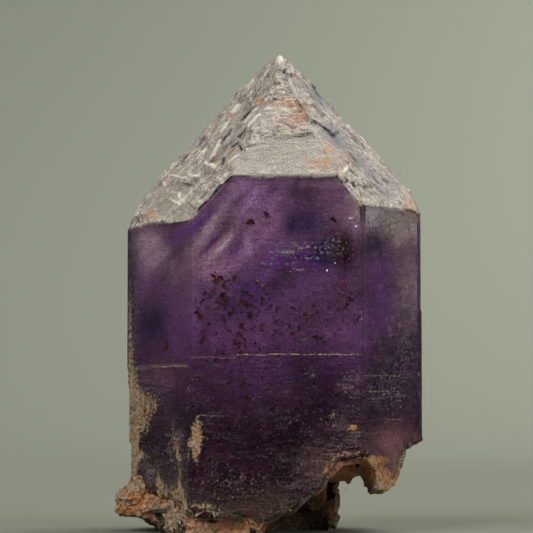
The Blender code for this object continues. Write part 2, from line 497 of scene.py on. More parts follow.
@dataclass(frozen=True)
class EtchedSkin:
    """Quartz etched by nature: white blades, slate crevices, pits and rust stains.

    Its needles are thinner than a pixel, so they are drawn about 0.3 mm wide.

    Attributes:
        ior: Index of refraction of quartz.
        pit: Size of the pits in millimetres.
        sliver: Length and width of the needles along the grain.
        stain: Size of the larger rust stains.
        spot: Size of the small rust spots.
        shades: Tones from the crevices to the blades, each with its height; as the tone follows the
            relief, it is partly their own colour and partly painted shade in the crevices and
            painted light on the blades.
        slate: Colour where the skin is thin and the violet shows through.
        rust: Colour of the larger stains.
        pink: Colour of the small spots.
        relief: Height of the finest relief in metres.
    """

    ior: float = 1.544
    pit: Triple = (0.13, 0.13, 0.13)
    sliver: Triple = (1.3, 0.34, 1.0)
    stain: Triple = (0.44, 0.44, 0.22)
    spot: Triple = (0.36, 0.36, 0.30)
    shades: tuple[tuple[float, str], ...] = (
        (0.36, "2C2A36"),
        (0.52, "6C6672"),
        (0.62, "928A8C"),
        (0.70, "A39E98"),
        (0.80, "C0BBB0"),
        (1.0, "F5F0E3"),
    )
    slate: str = "7B7E88"
    rust: str = "C08B66"
    pink: str = "C89478"
    relief: float = 0.00012

    def shader(self, t: Nodes, place: Socket, grain: Socket) -> Socket:
        """Build the shader.

        Args:
            t: Node tree that gets the finish.
            place: Object coordinates in millimetres.
            grain: Grain coordinates in millimetres.

        Returns:
            Shader socket.
        """
        height = t.add("Attribute", out="Fac", attribute_name="height")
        pit = t.pattern(place, self.pit, 3.0, 0.95)
        sliver = t.pattern(grain, self.sliver, 4.0, 0.75)
        # The tone follows the relief height: partly the skin's own colour, partly painted shade in
        # the crevices and painted light on the blades
        tone = t.add("Math", {0: pit, 1: 1.2, 2: height}, operation="MULTIPLY_ADD")
        tone = t.add("Math", {0: sliver, 1: 0.25, 2: tone}, operation="MULTIPLY_ADD")
        grey = t.add("ValToRGB", {"Fac": tone})
        ramp = grey.node.color_ramp
        for element, (level, code) in zip(ramp.elements, (self.shades[0], self.shades[-1])):
            element.position = level
            element.color = linear(code)
        for level, code in self.shades[1:-1]:
            ramp.elements.new(level).color = linear(code)
        slate = t.worn("slate", sliver, 1.2, 0.10, 0.90, 0.8)
        colour = t.add("Mix", {0: slate, 6: grey, 7: linear(self.slate)}, 2, data_type="RGBA")
        stain = t.worn("rust", t.pattern(place, self.stain, 4.0, 0.8), 5.0, 0.45, 1.15, 0.9)
        colour = t.add("Mix", {0: stain, 6: colour, 7: linear(self.rust)}, 2, data_type="RGBA")
        spots = t.pattern(place, self.spot, 4.0, 0.7)
        spots = {"Value": spots, "From Min": 0.57, "From Max": 0.70, "To Max": 0.40}
        spots = t.add("MapRange", spots)
        colour = t.add("Mix", {0: spots, 6: colour, 7: linear(self.pink)}, 2, data_type="RGBA")
        bump = t.add("Bump", {"Strength": 0.9, "Distance": self.relief, "Height": tone})
        skin = {"Base Color": colour, "Roughness": 0.5, "IOR": self.ior, "Normal": bump}
        return t.add("BsdfPrincipled", skin)


@dataclass(frozen=True)
class MineralCoat:
    """Clay and iron oxide grown on as crumbs: tan and matt, pink and rusty where iron is rich.

    The crumbs are longer from front to back, so that they look even on the slanted faces.

    Attributes:
        crumb: Size of the crumbs in millimetres.
        cloud: Size of the rusty areas.
        tan: Colours of the clay, in the cracks and on the crumbs.
        rust: Colours where it holds much iron.
        glow: Colour of the painted glow of thin places, as if light shone through them.
        shade: Colour of the painted shade on the broken root, where it looks down or back.
        relief: Height of the crumbs in metres.
    """

    crumb: Triple = (0.24, 0.55, 0.25)
    cloud: Triple = (1.1, 1.1, 1.1)
    tan: tuple[str, str] = ("463A34", "B29C80")
    rust: tuple[str, str] = ("683620", "C48856")
    glow: str = "E09A86"
    shade: str = "38211D"
    relief: float = 0.00015

    def shader(self, t: Nodes, place: Socket) -> Socket:
        """Build the shader.

        Args:
            t: Node tree that gets the finish.
            place: Object coordinates in millimetres.

        Returns:
            Shader socket.
        """
        crumb = t.pattern(place, self.crumb, 4.0, 0.8)
        high = {"Value": crumb, "From Min": 0.36, "From Max": 0.60}
        high = t.add("MapRange", high, interpolation_type="SMOOTHSTEP")
        tan, rust = (
            t.add("Mix", {0: high, 6: linear(low), 7: linear(top)}, 2, data_type="RGBA")
            for low, top in (self.tan, self.rust)
        )
        iron = t.worn("rust", t.pattern(place, self.cloud, 3.0, 0.6), 3.2, 0.25, 1.0, 0.9)
        colour = t.add("Mix", {0: iron, 6: tan, 7: rust}, 2, data_type="RGBA")
        # Painted glow on thin places, and painted shade where the root looks down or back
        for name, code in (("glow", self.glow), ("deep", self.shade)):
            share = t.add("Attribute", out="Fac", attribute_name=name)
            colour = t.add("Mix", {0: share, 6: colour, 7: linear(code)}, 2, data_type="RGBA")
        bump = t.add("Bump", {"Strength": 0.8, "Distance": self.relief, "Height": crumb})
        skin = {"Base Color": colour, "Roughness": 0.5, "IOR": 1.5, "Normal": bump}
        return t.add("BsdfPrincipled", skin)


@dataclass(frozen=True)
class QuartzFinish:
    """Natural amethyst as grown: glassy, finely striated faces, in places hazy, dusty or coated.

    The level striations break up reflections, and the volume gives the violet its depth.

    Attributes:
        ior: Index of refraction of quartz.
        absorb: Colour that the violet crystal keeps.
        density: Absorption density in 1/m.
        stria: Length and spacing of the striations in millimetres, real ones being finer.
        dust: Size of the haze's specks, longer from front to back as on the coat.
        ragged: Size of the nicks in the edges of coat, specks and etched spots.
        cloud: Size of the clouds in the haze.
        smear: Size of the smears of dark dust.
        haze_tints: Colours of plain and of rusty haze.
        dust_and_edge_shade_tint: Colour of the dark dust and of the painted shade line at the front
            right corner.
        corner: Middle and half width of the painted shade line at the front right corner, along the
            grain.
        lines: Growth lines of the front, right and left faces.
        line_half: Half width of a growth line in millimetres.
        skin: Finish of the etched places.
        coat: Finish of the coated places.
    """

    ior: float = 1.544
    absorb: Colour = (0.58, 0.30, 0.66, 1.0)
    density: float = 120.0
    stria: Triple = (1.9, 0.10, 1.0)
    dust: Triple = (0.12, 0.30, 0.12)
    ragged: Triple = (0.24, 0.55, 0.26)
    cloud: Triple = (1.2, 1.2, 0.6)
    smear: Triple = (0.20, 0.50, 0.22)
    haze_tints: tuple[str, str] = ("988696", "A07C68")
    dust_and_edge_shade_tint: str = "241A26"
    corner: tuple[float, float] = (12.98, 0.14)
    lines: tuple[GrowthLine, ...] = (
        GrowthLine(15.30, -3.2, 7.2, 1.0),
        GrowthLine(15.05, -7.4, -3.2, 0.42),
        GrowthLine(10.30, -6.3, -4.1, 0.6),
        GrowthLine(14.35, 82.8, 88.8, 1.0),
        GrowthLine(13.60, 13.3, 19.6, 0.42),
        GrowthLine(12.30, 13.8, 17.6, 0.42),
        GrowthLine(11.70, 13.3, 16.4, 0.42),
        GrowthLine(9.90, 16.6, 19.6, 0.42),
    )
    line_half: float = 0.045
    skin: EtchedSkin = EtchedSkin()
    coat: MineralCoat = MineralCoat()

    def pauses(self, t: Nodes, grain: Socket) -> Socket:
        """Share of dust in the growth lines, which wander and have gaps.

        Args:
            t: Node tree that gets the pattern.
            grain: Grain coordinates in millimetres.

        Returns:
            Share socket.
        """
        along = t.add("SeparateXYZ", {0: grain})
        across = along.node.outputs["Y"]
        bend = 0.35
        wander = t.pattern(grain, (1.7, 40.0, 1.0), 3.0, 0.6)
        level = t.add("Math", {0: wander, 1: bend, 2: across}, operation="MULTIPLY_ADD")
        broken = t.pattern(grain, (0.35, 0.2, 1.0), 3.0, 0.7)
        broken = t.add("MapRange", {"Value": broken, "From Min": 0.36, "From Max": 0.52})
        total = 0.0
        for line in self.lines:
            off = {0: level, 1: line.height + bend / 2, 2: self.line_half}
            off = t.add("Math", off, operation="COMPARE")
            middle = (line.start + line.end) / 2
            inside = {0: along, 1: middle, 2: (line.end - line.start) / 2}
            inside = t.add("Math", inside, operation="COMPARE")
            here = t.add("Math", {0: off, 1: inside}, operation="MULTIPLY")
            here = {0: here, 1: line.strength, 2: total}
            total = t.add("Math", here, operation="MULTIPLY_ADD")
        return t.add("Math", {0: total, 1: broken}, operation="MULTIPLY")

    def haze(self, t: Nodes, place: Socket, rub: Socket, ragged: Socket) -> Socket:
        """Share of haze: soft clouds, single bright striations and specks.

        Args:
            t: Node tree that gets the pattern.
            place: Object coordinates in millimetres.
            rub: Noise of the striations.
            ragged: Noise of the nicks.

        Returns:
            Share socket.
        """
        soft = t.add("Mix", {0: 0.35, 2: t.pattern(place, self.dust, 3.0, 0.95), 3: rub})
        soft = t.add("Mix", {0: 0.25, 2: soft, 3: t.pattern(place, self.cloud, 4.0, 0.7)})
        soft = t.worn("film", soft, 12.0, 0.45, 1.75, 0.55)
        line = t.add("MapRange", {"Value": rub, "From Min": 0.58, "From Max": 0.74, "To Max": 0.26})
        soft = t.add("Math", {0: soft, 1: line}, operation="MAXIMUM")
        speck = t.worn("speck", ragged, 4.0, 0.38, 0.68, 0.60)
        return t.add("Math", {0: soft, 1: speck}, operation="MAXIMUM")

    def grime(self, t: Nodes, place: Socket, grain: Socket) -> Socket:
        """Share of dark dust in smears, and of painted shade in a dark line along the front right
        corner.

        Args:
            t: Node tree that gets the pattern.
            place: Object coordinates in millimetres.
            grain: Grain coordinates in millimetres.

        Returns:
            Share socket.
        """
        smear = t.worn("grime", t.pattern(place, self.smear, 4.0, 0.8), 6.0, 0.54, 0.80, 0.75)
        along = t.add("SeparateXYZ", {0: grain})
        # Painted shade: a dark line along the front right corner
        middle, half = self.corner
        corner = t.add("Math", {0: along, 1: middle, 2: half}, operation="COMPARE")
        corner = t.add("Math", {0: corner, 1: 0.6}, operation="MULTIPLY")
        return t.add("Math", {0: smear, 1: corner}, operation="MAXIMUM")

    def glass(self, t: Nodes, rub: Socket) -> Socket:
        """Clear, finely striated quartz.

        Args:
            t: Node tree that gets the finish.
            rub: Noise of the striations.

        Returns:
            Shader socket.
        """
        bump = t.add("Bump", {"Strength": 0.20, "Distance": 0.00003, "Height": rub})
        clear = {"Base Color": (1.0, 1.0, 1.0, 1.0), "Transmission Weight": 1.0, "IOR": self.ior}
        return t.add("BsdfPrincipled", {**clear, "Roughness": 0.02, "Normal": bump})

    def make(self) -> bpy.types.Material:
        """Build the material.

        Returns:
            Material with glassy, hazy, dusty, etched and coated places.
        """
        t = Nodes(bpy.data.materials.new("amethyst quartz, etched and coated"))
        place = t.place()
        grain = t.add("UVMap", out="UV", uv_map="grain")
        rub = t.pattern(grain, self.stria, 4.0, 0.75)
        ragged = t.pattern(place, self.ragged, 5.0, 0.85)
        rust = t.add("Attribute", out="Fac", attribute_name="rust")
        plain, rusty = (linear(code) for code in self.haze_tints)
        tint = t.add("Mix", {0: rust, 6: plain, 7: rusty}, 2, data_type="RGBA")
        film = t.add("BsdfPrincipled", {"Base Color": tint, "Roughness": 0.6, "IOR": self.ior})
        # Dark dust, and the painted shade line along the front right corner
        dark = {"Base Color": linear(self.dust_and_edge_shade_tint), "Roughness": 0.6, "IOR": self.ior}
        etch = t.worn("frost", ragged, 3.0, 0.45, 0.70, 0.97)
        crust = t.worn("coat", ragged, 2.2, 0.42, 0.62, 0.97)
        crust = t.add("Math", {0: crust, 1: self.pauses(t, grain)}, operation="MAXIMUM")
        skins = (
            (self.haze(t, place, rub, ragged), film),
            (self.grime(t, place, grain), t.add("BsdfPrincipled", dark)),
            (etch, self.skin.shader(t, place, grain)),
            (crust, self.coat.shader(t, place)),
        )
        surface = self.glass(t, rub)
        for share, skin in skins:
            surface = t.add("MixShader", {0: share, 1: surface, 2: skin})
        volume = t.add("VolumeAbsorption", {"Color": self.absorb, "Density": self.density})
        return t.close(surface, volume)


@dataclass(frozen=True)
class VeilFinish:
    """Cloudy growth zone: tiny inclusions that look like a thin, matt, see-through sheet.

    Attributes:
        name: Material name.
        speck: Size of the finest specks in millimetres.
        level: Size of the level streaks.
    """

    name: str
    speck: Triple = (0.17, 0.17, 0.17)
    level: Triple = (0.8, 0.8, 0.12)

    def make(self) -> bpy.types.Material:
        """Build the material from the tint and the density stored on the mesh.

        Returns:
            Matt see-through material.
        """
        t = Nodes(bpy.data.materials.new(self.name))
        place = t.place()
        tint = t.add("Attribute", out="Color", attribute_name="tint")
        veil = t.add("Attribute", out="Fac", attribute_name="veil")
        fine = t.pattern(place, self.speck, 4.0, 0.85)
        fine = t.add("Mix", {0: 0.40, 2: fine, 3: t.pattern(place, self.level, 4.0, 0.8)})
        span = {"Value": fine, "From Min": 0.35, "From Max": 0.65}
        thick = t.add("MapRange", {**span, "To Min": 0.85, "To Max": 1.15})
        alpha = t.add("Math", {0: veil, 1: thick}, operation="MULTIPLY", use_clamp=True)
        bright = t.add("MapRange", {**span, "To Min": 0.35, "To Max": 1.65})
        tint = t.add("VectorMath", {0: tint, "Scale": bright}, operation="SCALE")
        skin = {"Base Color": tint, "Roughness": 1.0, "Alpha": alpha, "Specular IOR Level": 0.0}
        return t.close(t.add("BsdfPrincipled", skin))


@dataclass(frozen=True)
class FlakeFinish:
    """Small solid inclusions whose colour runs between two shades.

    Attributes:
        name: Material name, the mineral and its look.
        dark: Darker shade.
        light: Lighter shade.
        rough: Roughness.
        cell: Distance over which the shade changes in millimetres.
        metal: Metallic value, 1 for films that mirror the light.
    """

    name: str
    dark: str
    light: str
    rough: float = 0.5
    cell: float = 1.2
    metal: float = 0.0

    def make(self) -> bpy.types.Material:
        """Build the material.

        Returns:
            Material that changes from flake to flake.
        """
        t = Nodes(bpy.data.materials.new(self.name))
        tone = t.pattern(t.place(), (self.cell, self.cell, self.cell), 1.0)
        tone = t.add("MapRange", {"Value": tone, "From Min": 0.42, "From Max": 0.60})
        shades = {6: linear(self.dark), 7: linear(self.light)}
        colour = t.add("Mix", {0: tone, **shades}, 2, data_type="RGBA")
        skin = {"Base Color": colour, "Roughness": self.rough, "Metallic": self.metal}
        return t.close(t.add("BsdfPrincipled", {**skin, "Specular IOR Level": 0.1}))


class Piece:
    """Mesh piece of the visual model that rides with the crystal."""

    def __init__(self, name: str, bm: bmesh.types.BMesh, material: bpy.types.Material) -> None:
        """Store a bmesh as an object and dress it.

        Args:
            name: Object name.
            bm: Geometry in metres, freed here.
            material: Finish of the whole piece.
        """
        mesh = bpy.data.meshes.new(name)
        bm.to_mesh(mesh)
        bm.free()
        mesh.materials.append(material)
        self.item = bpy.data.objects.new(name, mesh)
        bpy.context.scene.collection.objects.link(self.item)
        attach(self.item, "root")
        LOG.info("%s: %d faces", name, len(mesh.polygons))

    def places(self, what: str = "vertices", key: str = "co") -> np.ndarray:
        """Vectors of the mesh.

        Args:
            what: Collection that holds them.
            key: Their name in it.

        Returns:
            One row each.
        """
        items = getattr(self.item.data, what)
        values = np.zeros(len(items) * 3)
        items.foreach_get(key, values)
        return values.reshape(-1, 3)

    def store(self, name: str, values: np.ndarray, domain: str = "POINT") -> None:
        """Keep numbers or colours on the mesh.

        Args:
            name: Attribute name.
            values: One number or one RGBA row for each element.
            domain: Kind of element.
        """
        colour = values.ndim == 2
        kind = "FLOAT_COLOR" if colour else "FLOAT"
        layer = self.item.data.attributes.new(name, kind, domain)
        layer.data.foreach_set("color" if colour else "value", values.ravel())


def split_long(bm: bmesh.types.BMesh, limits: Triple, rear: float, turns: int = 8) -> None:
    """Split edges until they are shorter than the limit of their zone.

    Args:
        bm: Geometry in metres.
        limits: Longest edge in millimetres on prism, termination and root.
        rear: Factor on the limit for prism and termination faces that look away from the front.
        turns: Most passes made.
    """
    for turn in range(turns):
        bm.normal_update()
        centres = HABIT.local(np.array([face.calc_center_median() for face in bm.faces]))
        normals = np.array([face.normal for face in bm.faces])
        kind, _ = HABIT.zones(centres, normals)
        longest = np.array(limits)[kind]
        away = (normals[:, 1] > 0.1) & (kind != Zone.ROOT)
        longest = np.where(away, longest * rear, longest) * MM
        chosen = set()
        for face, limit in zip(bm.faces, longest):
            chosen.update(edge for edge in face.edges if edge.calc_length() > limit)
        if not chosen:
            break
        bmesh.ops.subdivide_edges(bm, edges=list(chosen), cuts=1)
        bmesh.ops.triangulate(bm, faces=[face for face in bm.faces if len(face.verts) > 3])


@dataclass(frozen=True)
class EtchRelief:
    """Forms of the etched skin, in millimetres over it.

    Attributes:
        blade: Height of the winding blades.
        crevice: Depth of the winding crevices.
        fibre: Height of the fibres between them.
        fine: Height of the finest grain.
        swell: Height of the slow waves.
        beads: Height of the beads along the lower rim.
        lip: Depth of the round groove on the front face.
        groove: Middle of that groove in the front view, and its radius.
    """

    blade: float = 0.12
    crevice: float = 0.14
    fibre: float = 0.06
    fine: float = 0.06
    swell: float = 0.03
    beads: float = 0.11
    lip: float = 0.1
    groove: Triple = (-3.1, 32.7, 0.55)


@dataclass
class CrystalBody:
    """The crystal itself, from the CAD solid with finer relief.

    Attributes:
        edges: Longest edge in millimetres on prism, termination and root.
        coat: Places with mineral coat.
        film: Places with haze.
        rust: Places with rusty or pink colour.
        calm: Places where the etched skin is fine and even.
        slate: Places where the etched skin is bluish grey.
        etch: Places on the prism with spots of the etched skin.
        speck: Places with specks of haze.
        grime: Places with dark dust.
        ridges: Larger blades and crevices of the etched skin.
        painted_lit: Broken places that get painted light, where most of the painted shade is taken
            off.
        glow: Thin red broken places that get a painted glow, as if light shone through them.
        bare: Places that the coat leaves open.
        etched: Forms of the etched skin.
        crumbs: Coarse and fine roughness of the root in millimetres.
        face_depth: Depth of the evened left face under its plane.
        solid: Surface of the CAD solid, once it is built.
    """

    edges: Triple = (0.46, 0.172, 0.31)
    coat: tuple[Patch, ...] = (
        Patch(-12.2, 10.0, 0.70, 5.2, 0.95),
        Patch(-10.8, 11.2, 1.2, 1.5, 0.62),
        Patch(-12.0, 6.6, 0.6, 1.4, 0.9),
        Patch(-11.2, 6.9, 1.1, 0.45, 0.62),
        Patch(-8.7, 2.4, 1.1, 2.4, 0.95),
        Patch(-7.9, 4.2, 0.26, 3.2, 0.55, 4.0),
        Patch(-9.5, 3.6, 0.4, 2.6, 0.72, 10.0),
        Patch(-8.4, 8.0, 0.45, 2.2, 0.50, 16.0),
        Patch(-6.75, 8.2, 0.50, 1.9, 1.2, -4.0),
        Patch(-6.2, 2.5, 1.2, 0.35, 0.66),
        Patch(-5.0, 1.9, 1.2, 0.35, 0.55),
        Patch(6.7, 9.2, 0.65, 0.32, 0.85),
        Patch(6.4, 7.0, 1.3, 0.35, 0.62, 6.0),
        Patch(8.6, 6.5, 1.4, 0.4, 0.66),
        Patch(4.6, 5.8, 0.4, 1.3, 0.62, -42.0),
        Patch(8.7, 5.0, 1.1, 1.2, 0.95),
        Patch(9.9, 4.4, 0.9, 0.9, 0.60),
        Patch(10.9, 6.4, 0.35, 1.5, 0.60, -14.0),
        Patch(-10.9, 9.2, 0.7, 0.9, 0.50),
        Patch(-7.3, 12.6, 0.4, 1.6, 0.40),
        Patch(2.0, 1.6, 1.8, 0.35, 0.55, -38.0),
        Patch(-3.2, 0.9, 3.0, 0.45, 0.5),
        Patch(5.0, 10.2, 0.3, 0.5, 0.66, 20.0),
        Patch(-12.4, 19.0, 0.30, 5.0, 0.46),
        Patch(12.2, 27.2, 0.6, 1.1, 0.45),
        Patch(7.3, 28.6, 0.25, 0.6, 0.9),
    )
    film: tuple[Patch, ...] = (
        Patch(10.2, 26.9, 2.2, 1.5, 1.45),
        Patch(11.6, 21.0, 1.1, 5.0, 0.80),
        Patch(10.2, 19.0, 1.8, 5.0, 0.45),
        Patch(10.4, 6.4, 1.1, 1.6, 0.90),
        Patch(9.6, 12.4, 2.6, 3.4, 0.34),
        Patch(8.6, 24.0, 1.0, 1.2, 0.45),
        Patch(-12.3, 18.0, 0.6, 8.0, 0.70),
        Patch(-9.8, 13.2, 1.6, 2.0, 0.45),
        Patch(-10.8, 24.6, 1.5, 1.8, 0.75),
        Patch(-8.2, 8.0, 0.7, 2.6, 0.80, 14.0),
        Patch(-10.7, 5.7, 0.7, 1.0, 0.9),
        Patch(1.0, 24.2, 1.9, 0.9, 0.75),
        Patch(4.2, 24.6, 0.9, 1.0, 0.60),
        Patch(3.4, 30.2, 3.4, 0.8, 0.50),
        Patch(6.3, 28.6, 0.8, 1.2, 0.55),
        Patch(6.4, 13.0, 1.2, 0.9, 0.70),
        Patch(6.2, 8.4, 2.2, 1.8, 0.70),
        Patch(-0.6, 3.0, 6.0, 1.8, 0.46),
        Patch(4.2, 5.6, 2.4, 1.6, 0.80),
        Patch(-11.0, 26.2, 1.6, 0.7, 0.60),
        Patch(-3.4, 22.6, 3.4, 3.4, 0.14),
        Patch(0.0, 9.0, 6.0, 3.0, 0.08),
    )
    rust: tuple[Patch, ...] = (
        Patch(1.0, 37.0, 1.8, 0.55, 0.80),
        Patch(2.2, 36.0, 0.9, 0.6, 0.85),
        Patch(1.1, 35.2, 1.4, 0.45, 0.80),
        Patch(-1.3, 37.2, 0.7, 0.35, 0.75),
        Patch(-3.8, 35.8, 0.4, 0.35, 0.70),
        Patch(-5.0, 32.0, 0.3, 0.5, 0.75),
        Patch(-4.3, 31.8, 0.3, 0.4, 0.75),
        Patch(-3.7, 32.6, 0.3, 0.4, 0.75),
        Patch(-5.6, 29.9, 0.22, 0.22, 0.9),
        Patch(-9.0, 30.1, 0.3, 0.3, 0.8),
        Patch(-5.6, 34.4, 0.4, 1.4, 0.45, -45.0),
        Patch(-10.9, 27.3, 0.35, 1.2, 0.70, -45.0),
        Patch(-10.2, 27.4, 0.4, 0.35, 0.75),
        Patch(4.0, 31.8, 1.7, 0.6, 0.80),
        Patch(4.6, 33.0, 0.5, 0.7, 0.75, 45.0),
        Patch(6.4, 32.4, 0.7, 0.7, 0.45),
        Patch(7.4, 35.0, 0.4, 0.5, 0.6),
        Patch(11.6, 28.0, 0.8, 1.2, 0.65),
        Patch(10.6, 26.4, 1.8, 1.4, 0.40),
        Patch(-12.0, 2.4, 2.2, 1.8, 0.8),
        Patch(-4.0, 0.6, 4.0, 0.8, 0.62),
        Patch(8.6, 5.6, 2.6, 1.8, 0.9),
        Patch(5.4, 5.6, 2.0, 1.4, 0.75),
        Patch(-1.0, 3.0, 7.0, 2.6, 0.55),
        Patch(6.7, 9.2, 0.8, 0.6, 0.7),
        Patch(-10.8, 11.0, 1.2, 1.3, 0.30),
        Patch(-6.5, 8.2, 0.6, 1.8, 0.45),
    )
    calm: tuple[Patch, ...] = (
        Patch(1.0, 32.6, 3.4, 1.9),
        Patch(-2.8, 31.6, 1.6, 1.0),
        Patch(-9.6, 28.0, 2.4, 1.2, 0.8, -40.0),
    )
    slate: tuple[Patch, ...] = (
        Patch(3.7, 37.6, 0.8, 1.7, 0.8, 42.0),
        Patch(5.0, 34.2, 0.6, 1.5, 0.8, 42.0),
        Patch(-6.4, 33.8, 0.5, 1.0, 0.6, -45.0),
        Patch(-7.9, 32.2, 0.5, 0.8, 0.5, -45.0),
        Patch(1.6, 39.2, 0.5, 1.0, 0.3, 40.0),
        Patch(7.6, 31.6, 0.6, 1.6, 0.4, 42.0),
        Patch(-2.6, 32.4, 0.5, 0.7, 0.35),
        Patch(1.0, 32.6, 3.4, 1.6, 0.36),
        Patch(7.2, 32.4, 1.8, 3.4, 0.34, 42.0),
        Patch(9.8, 29.4, 2.4, 1.2, 0.42, 30.0),
    )
    etch: tuple[Patch, ...] = (
        Patch(10.4, 26.8, 2.2, 1.5, 0.46),
        Patch(10.9, 25.4, 1.2, 0.8, 0.16),
        Patch(-11.4, 25.8, 1.4, 0.9, 0.30),
    )
    speck: tuple[Patch, ...] = (
        Patch(11.7, 23.0, 0.6, 3.0, 0.36),
        Patch(11.2, 17.0, 0.9, 3.0, 0.28),
        Patch(10.2, 12.4, 1.8, 2.2, 0.28),
        Patch(10.9, 21.6, 0.8, 2.4, 0.34),
        Patch(-11.9, 21.0, 0.5, 3.4, 0.32),
        Patch(-10.4, 12.4, 1.2, 1.8, 0.34),
        Patch(-8.4, 7.0, 0.6, 2.4, 0.38, 14.0),
        Patch(-10.2, 5.4, 0.7, 1.2, 0.34),
        Patch(1.4, 24.5, 2.4, 0.6, 0.33),
        Patch(5.2, 25.0, 1.6, 1.4, 0.26),
        Patch(6.0, 12.6, 1.2, 1.0, 0.30),
        Patch(-3.0, 4.4, 4.0, 1.0, 0.25),
    )
    grime: tuple[Patch, ...] = (
        Patch(9.6, 27.0, 2.6, 1.2, 0.42),
        Patch(8.8, 24.8, 1.8, 1.4, 0.40),
        Patch(11.2, 19.4, 1.0, 4.0, 0.32),
        Patch(9.8, 12.6, 2.0, 3.0, 0.26),
        Patch(5.2, 25.0, 1.5, 2.2, 0.32),
        Patch(1.6, 24.4, 2.4, 1.0, 0.24),
        Patch(1.0, 18.0, 7.0, 4.0, 0.20),
        Patch(-10.4, 12.2, 1.4, 1.6, 0.30),
        Patch(-12.0, 19.0, 0.5, 6.0, 0.30),
    )
    ridges: tuple[Ridge, ...] = (
        Ridge(-3.38, 36.47, 0.62, 0.24, 0.13, 47.0),
        Ridge(-1.88, 35.40, 0.95, 0.15, 0.20, 45.0),
        Ridge(-5.05, 33.04, 1.00, 0.17, 0.18, 60.0),
        Ridge(-3.64, 32.10, 0.62, 0.15, 0.18, 42.0),
        Ridge(-5.56, 31.63, 0.62, 0.22, 0.15, -25.0),
        Ridge(-8.30, 30.64, 1.00, 0.14, 0.11, -12.0),
        Ridge(-9.54, 30.13, 0.35, 0.13, 0.10, -68.0),
        Ridge(-8.47, 28.42, 0.62, 0.16, 0.11, -28.0),
        Ridge(-8.20, 29.06, 0.25, 0.13, 0.14, 80.0),
        Ridge(-6.85, 30.70, 0.50, 0.20, 0.10, 10.0),
        Ridge(-2.10, 38.60, 0.50, 0.13, 0.14, 50.0),
        Ridge(-4.30, 34.90, 0.60, 0.14, 0.12, 52.0),
        Ridge(-6.30, 32.60, 0.70, 0.14, 0.12, 48.0),
        Ridge(-7.20, 29.40, 0.50, 0.13, 0.13, 70.0),
        Ridge(6.16, 31.40, 0.50, 0.25, 0.16, 55.0),
        Ridge(7.20, 29.60, 0.60, 0.16, 0.12, -48.0),
        Ridge(0.50, 40.60, 0.50, 0.45, 0.12, 0.0),
        Ridge(-2.40, 36.04, 0.95, 0.14, -0.24, 47.0),
        Ridge(-4.20, 34.10, 0.85, 0.14, -0.22, 55.0),
        Ridge(-2.74, 34.50, 0.70, 0.12, -0.22, 50.0),
        Ridge(-3.45, 33.40, 0.42, 0.11, -0.30, 38.0),
        Ridge(-2.95, 33.15, 0.32, 0.10, -0.28, -55.0),
        Ridge(-6.30, 33.70, 0.45, 0.13, -0.16, 50.0),
        Ridge(-7.80, 32.20, 0.50, 0.13, -0.15, 50.0),
        Ridge(-4.50, 32.00, 0.35, 0.16, -0.18, 70.0),
        Ridge(-7.60, 30.00, 0.50, 0.12, -0.14, -10.0),
        Ridge(0.86, 39.70, 0.30, 0.16, -0.20, 60.0),
        Ridge(0.17, 38.60, 0.30, 0.20, -0.16, 10.0),
        Ridge(2.48, 36.30, 0.85, 0.11, -0.20, -53.0),
        Ridge(3.77, 35.10, 0.90, 0.13, -0.14, -33.0),
        Ridge(5.05, 34.00, 1.20, 0.18, -0.14, -50.0),
        Ridge(3.60, 37.90, 1.00, 0.20, -0.10, -50.0),
        Ridge(6.85, 32.10, 0.80, 0.12, -0.16, -50.0),
        Ridge(8.60, 30.40, 0.70, 0.12, -0.12, -50.0),
    )
    painted_lit: tuple[Patch, ...] = (
        Patch(6.0, 5.8, 2.6, 2.0),
        Patch(8.6, 4.8, 1.8, 2.2, 0.8),
        Patch(-3.5, 0.6, 4.5, 1.2, 0.9),
        Patch(-12.0, 3.0, 2.4, 2.4, 0.7),
    )
    glow: tuple[Patch, ...] = (
        Patch(5.9, 5.7, 1.5, 1.2, 0.9),
        Patch(5.9, 6.9, 1.3, 0.5, 0.7),
        Patch(-5.0, 0.7, 2.6, 0.6, 0.35),
        Patch(4.0, 4.2, 1.6, 0.5, 0.6, -42.0),
    )
    bare: tuple[Patch, ...] = (
        Patch(-9.9, 8.4, 1.0, 1.5),
        Patch(-8.9, 5.6, 0.9, 1.7, 0.8, 14.0),
    )
    etched: EtchRelief = EtchRelief()
    crumbs: tuple[float, float] = (0.084, 0.04)
    face_depth: float = 0.26
    solid: BVHTree | None = field(default=None, init=False)

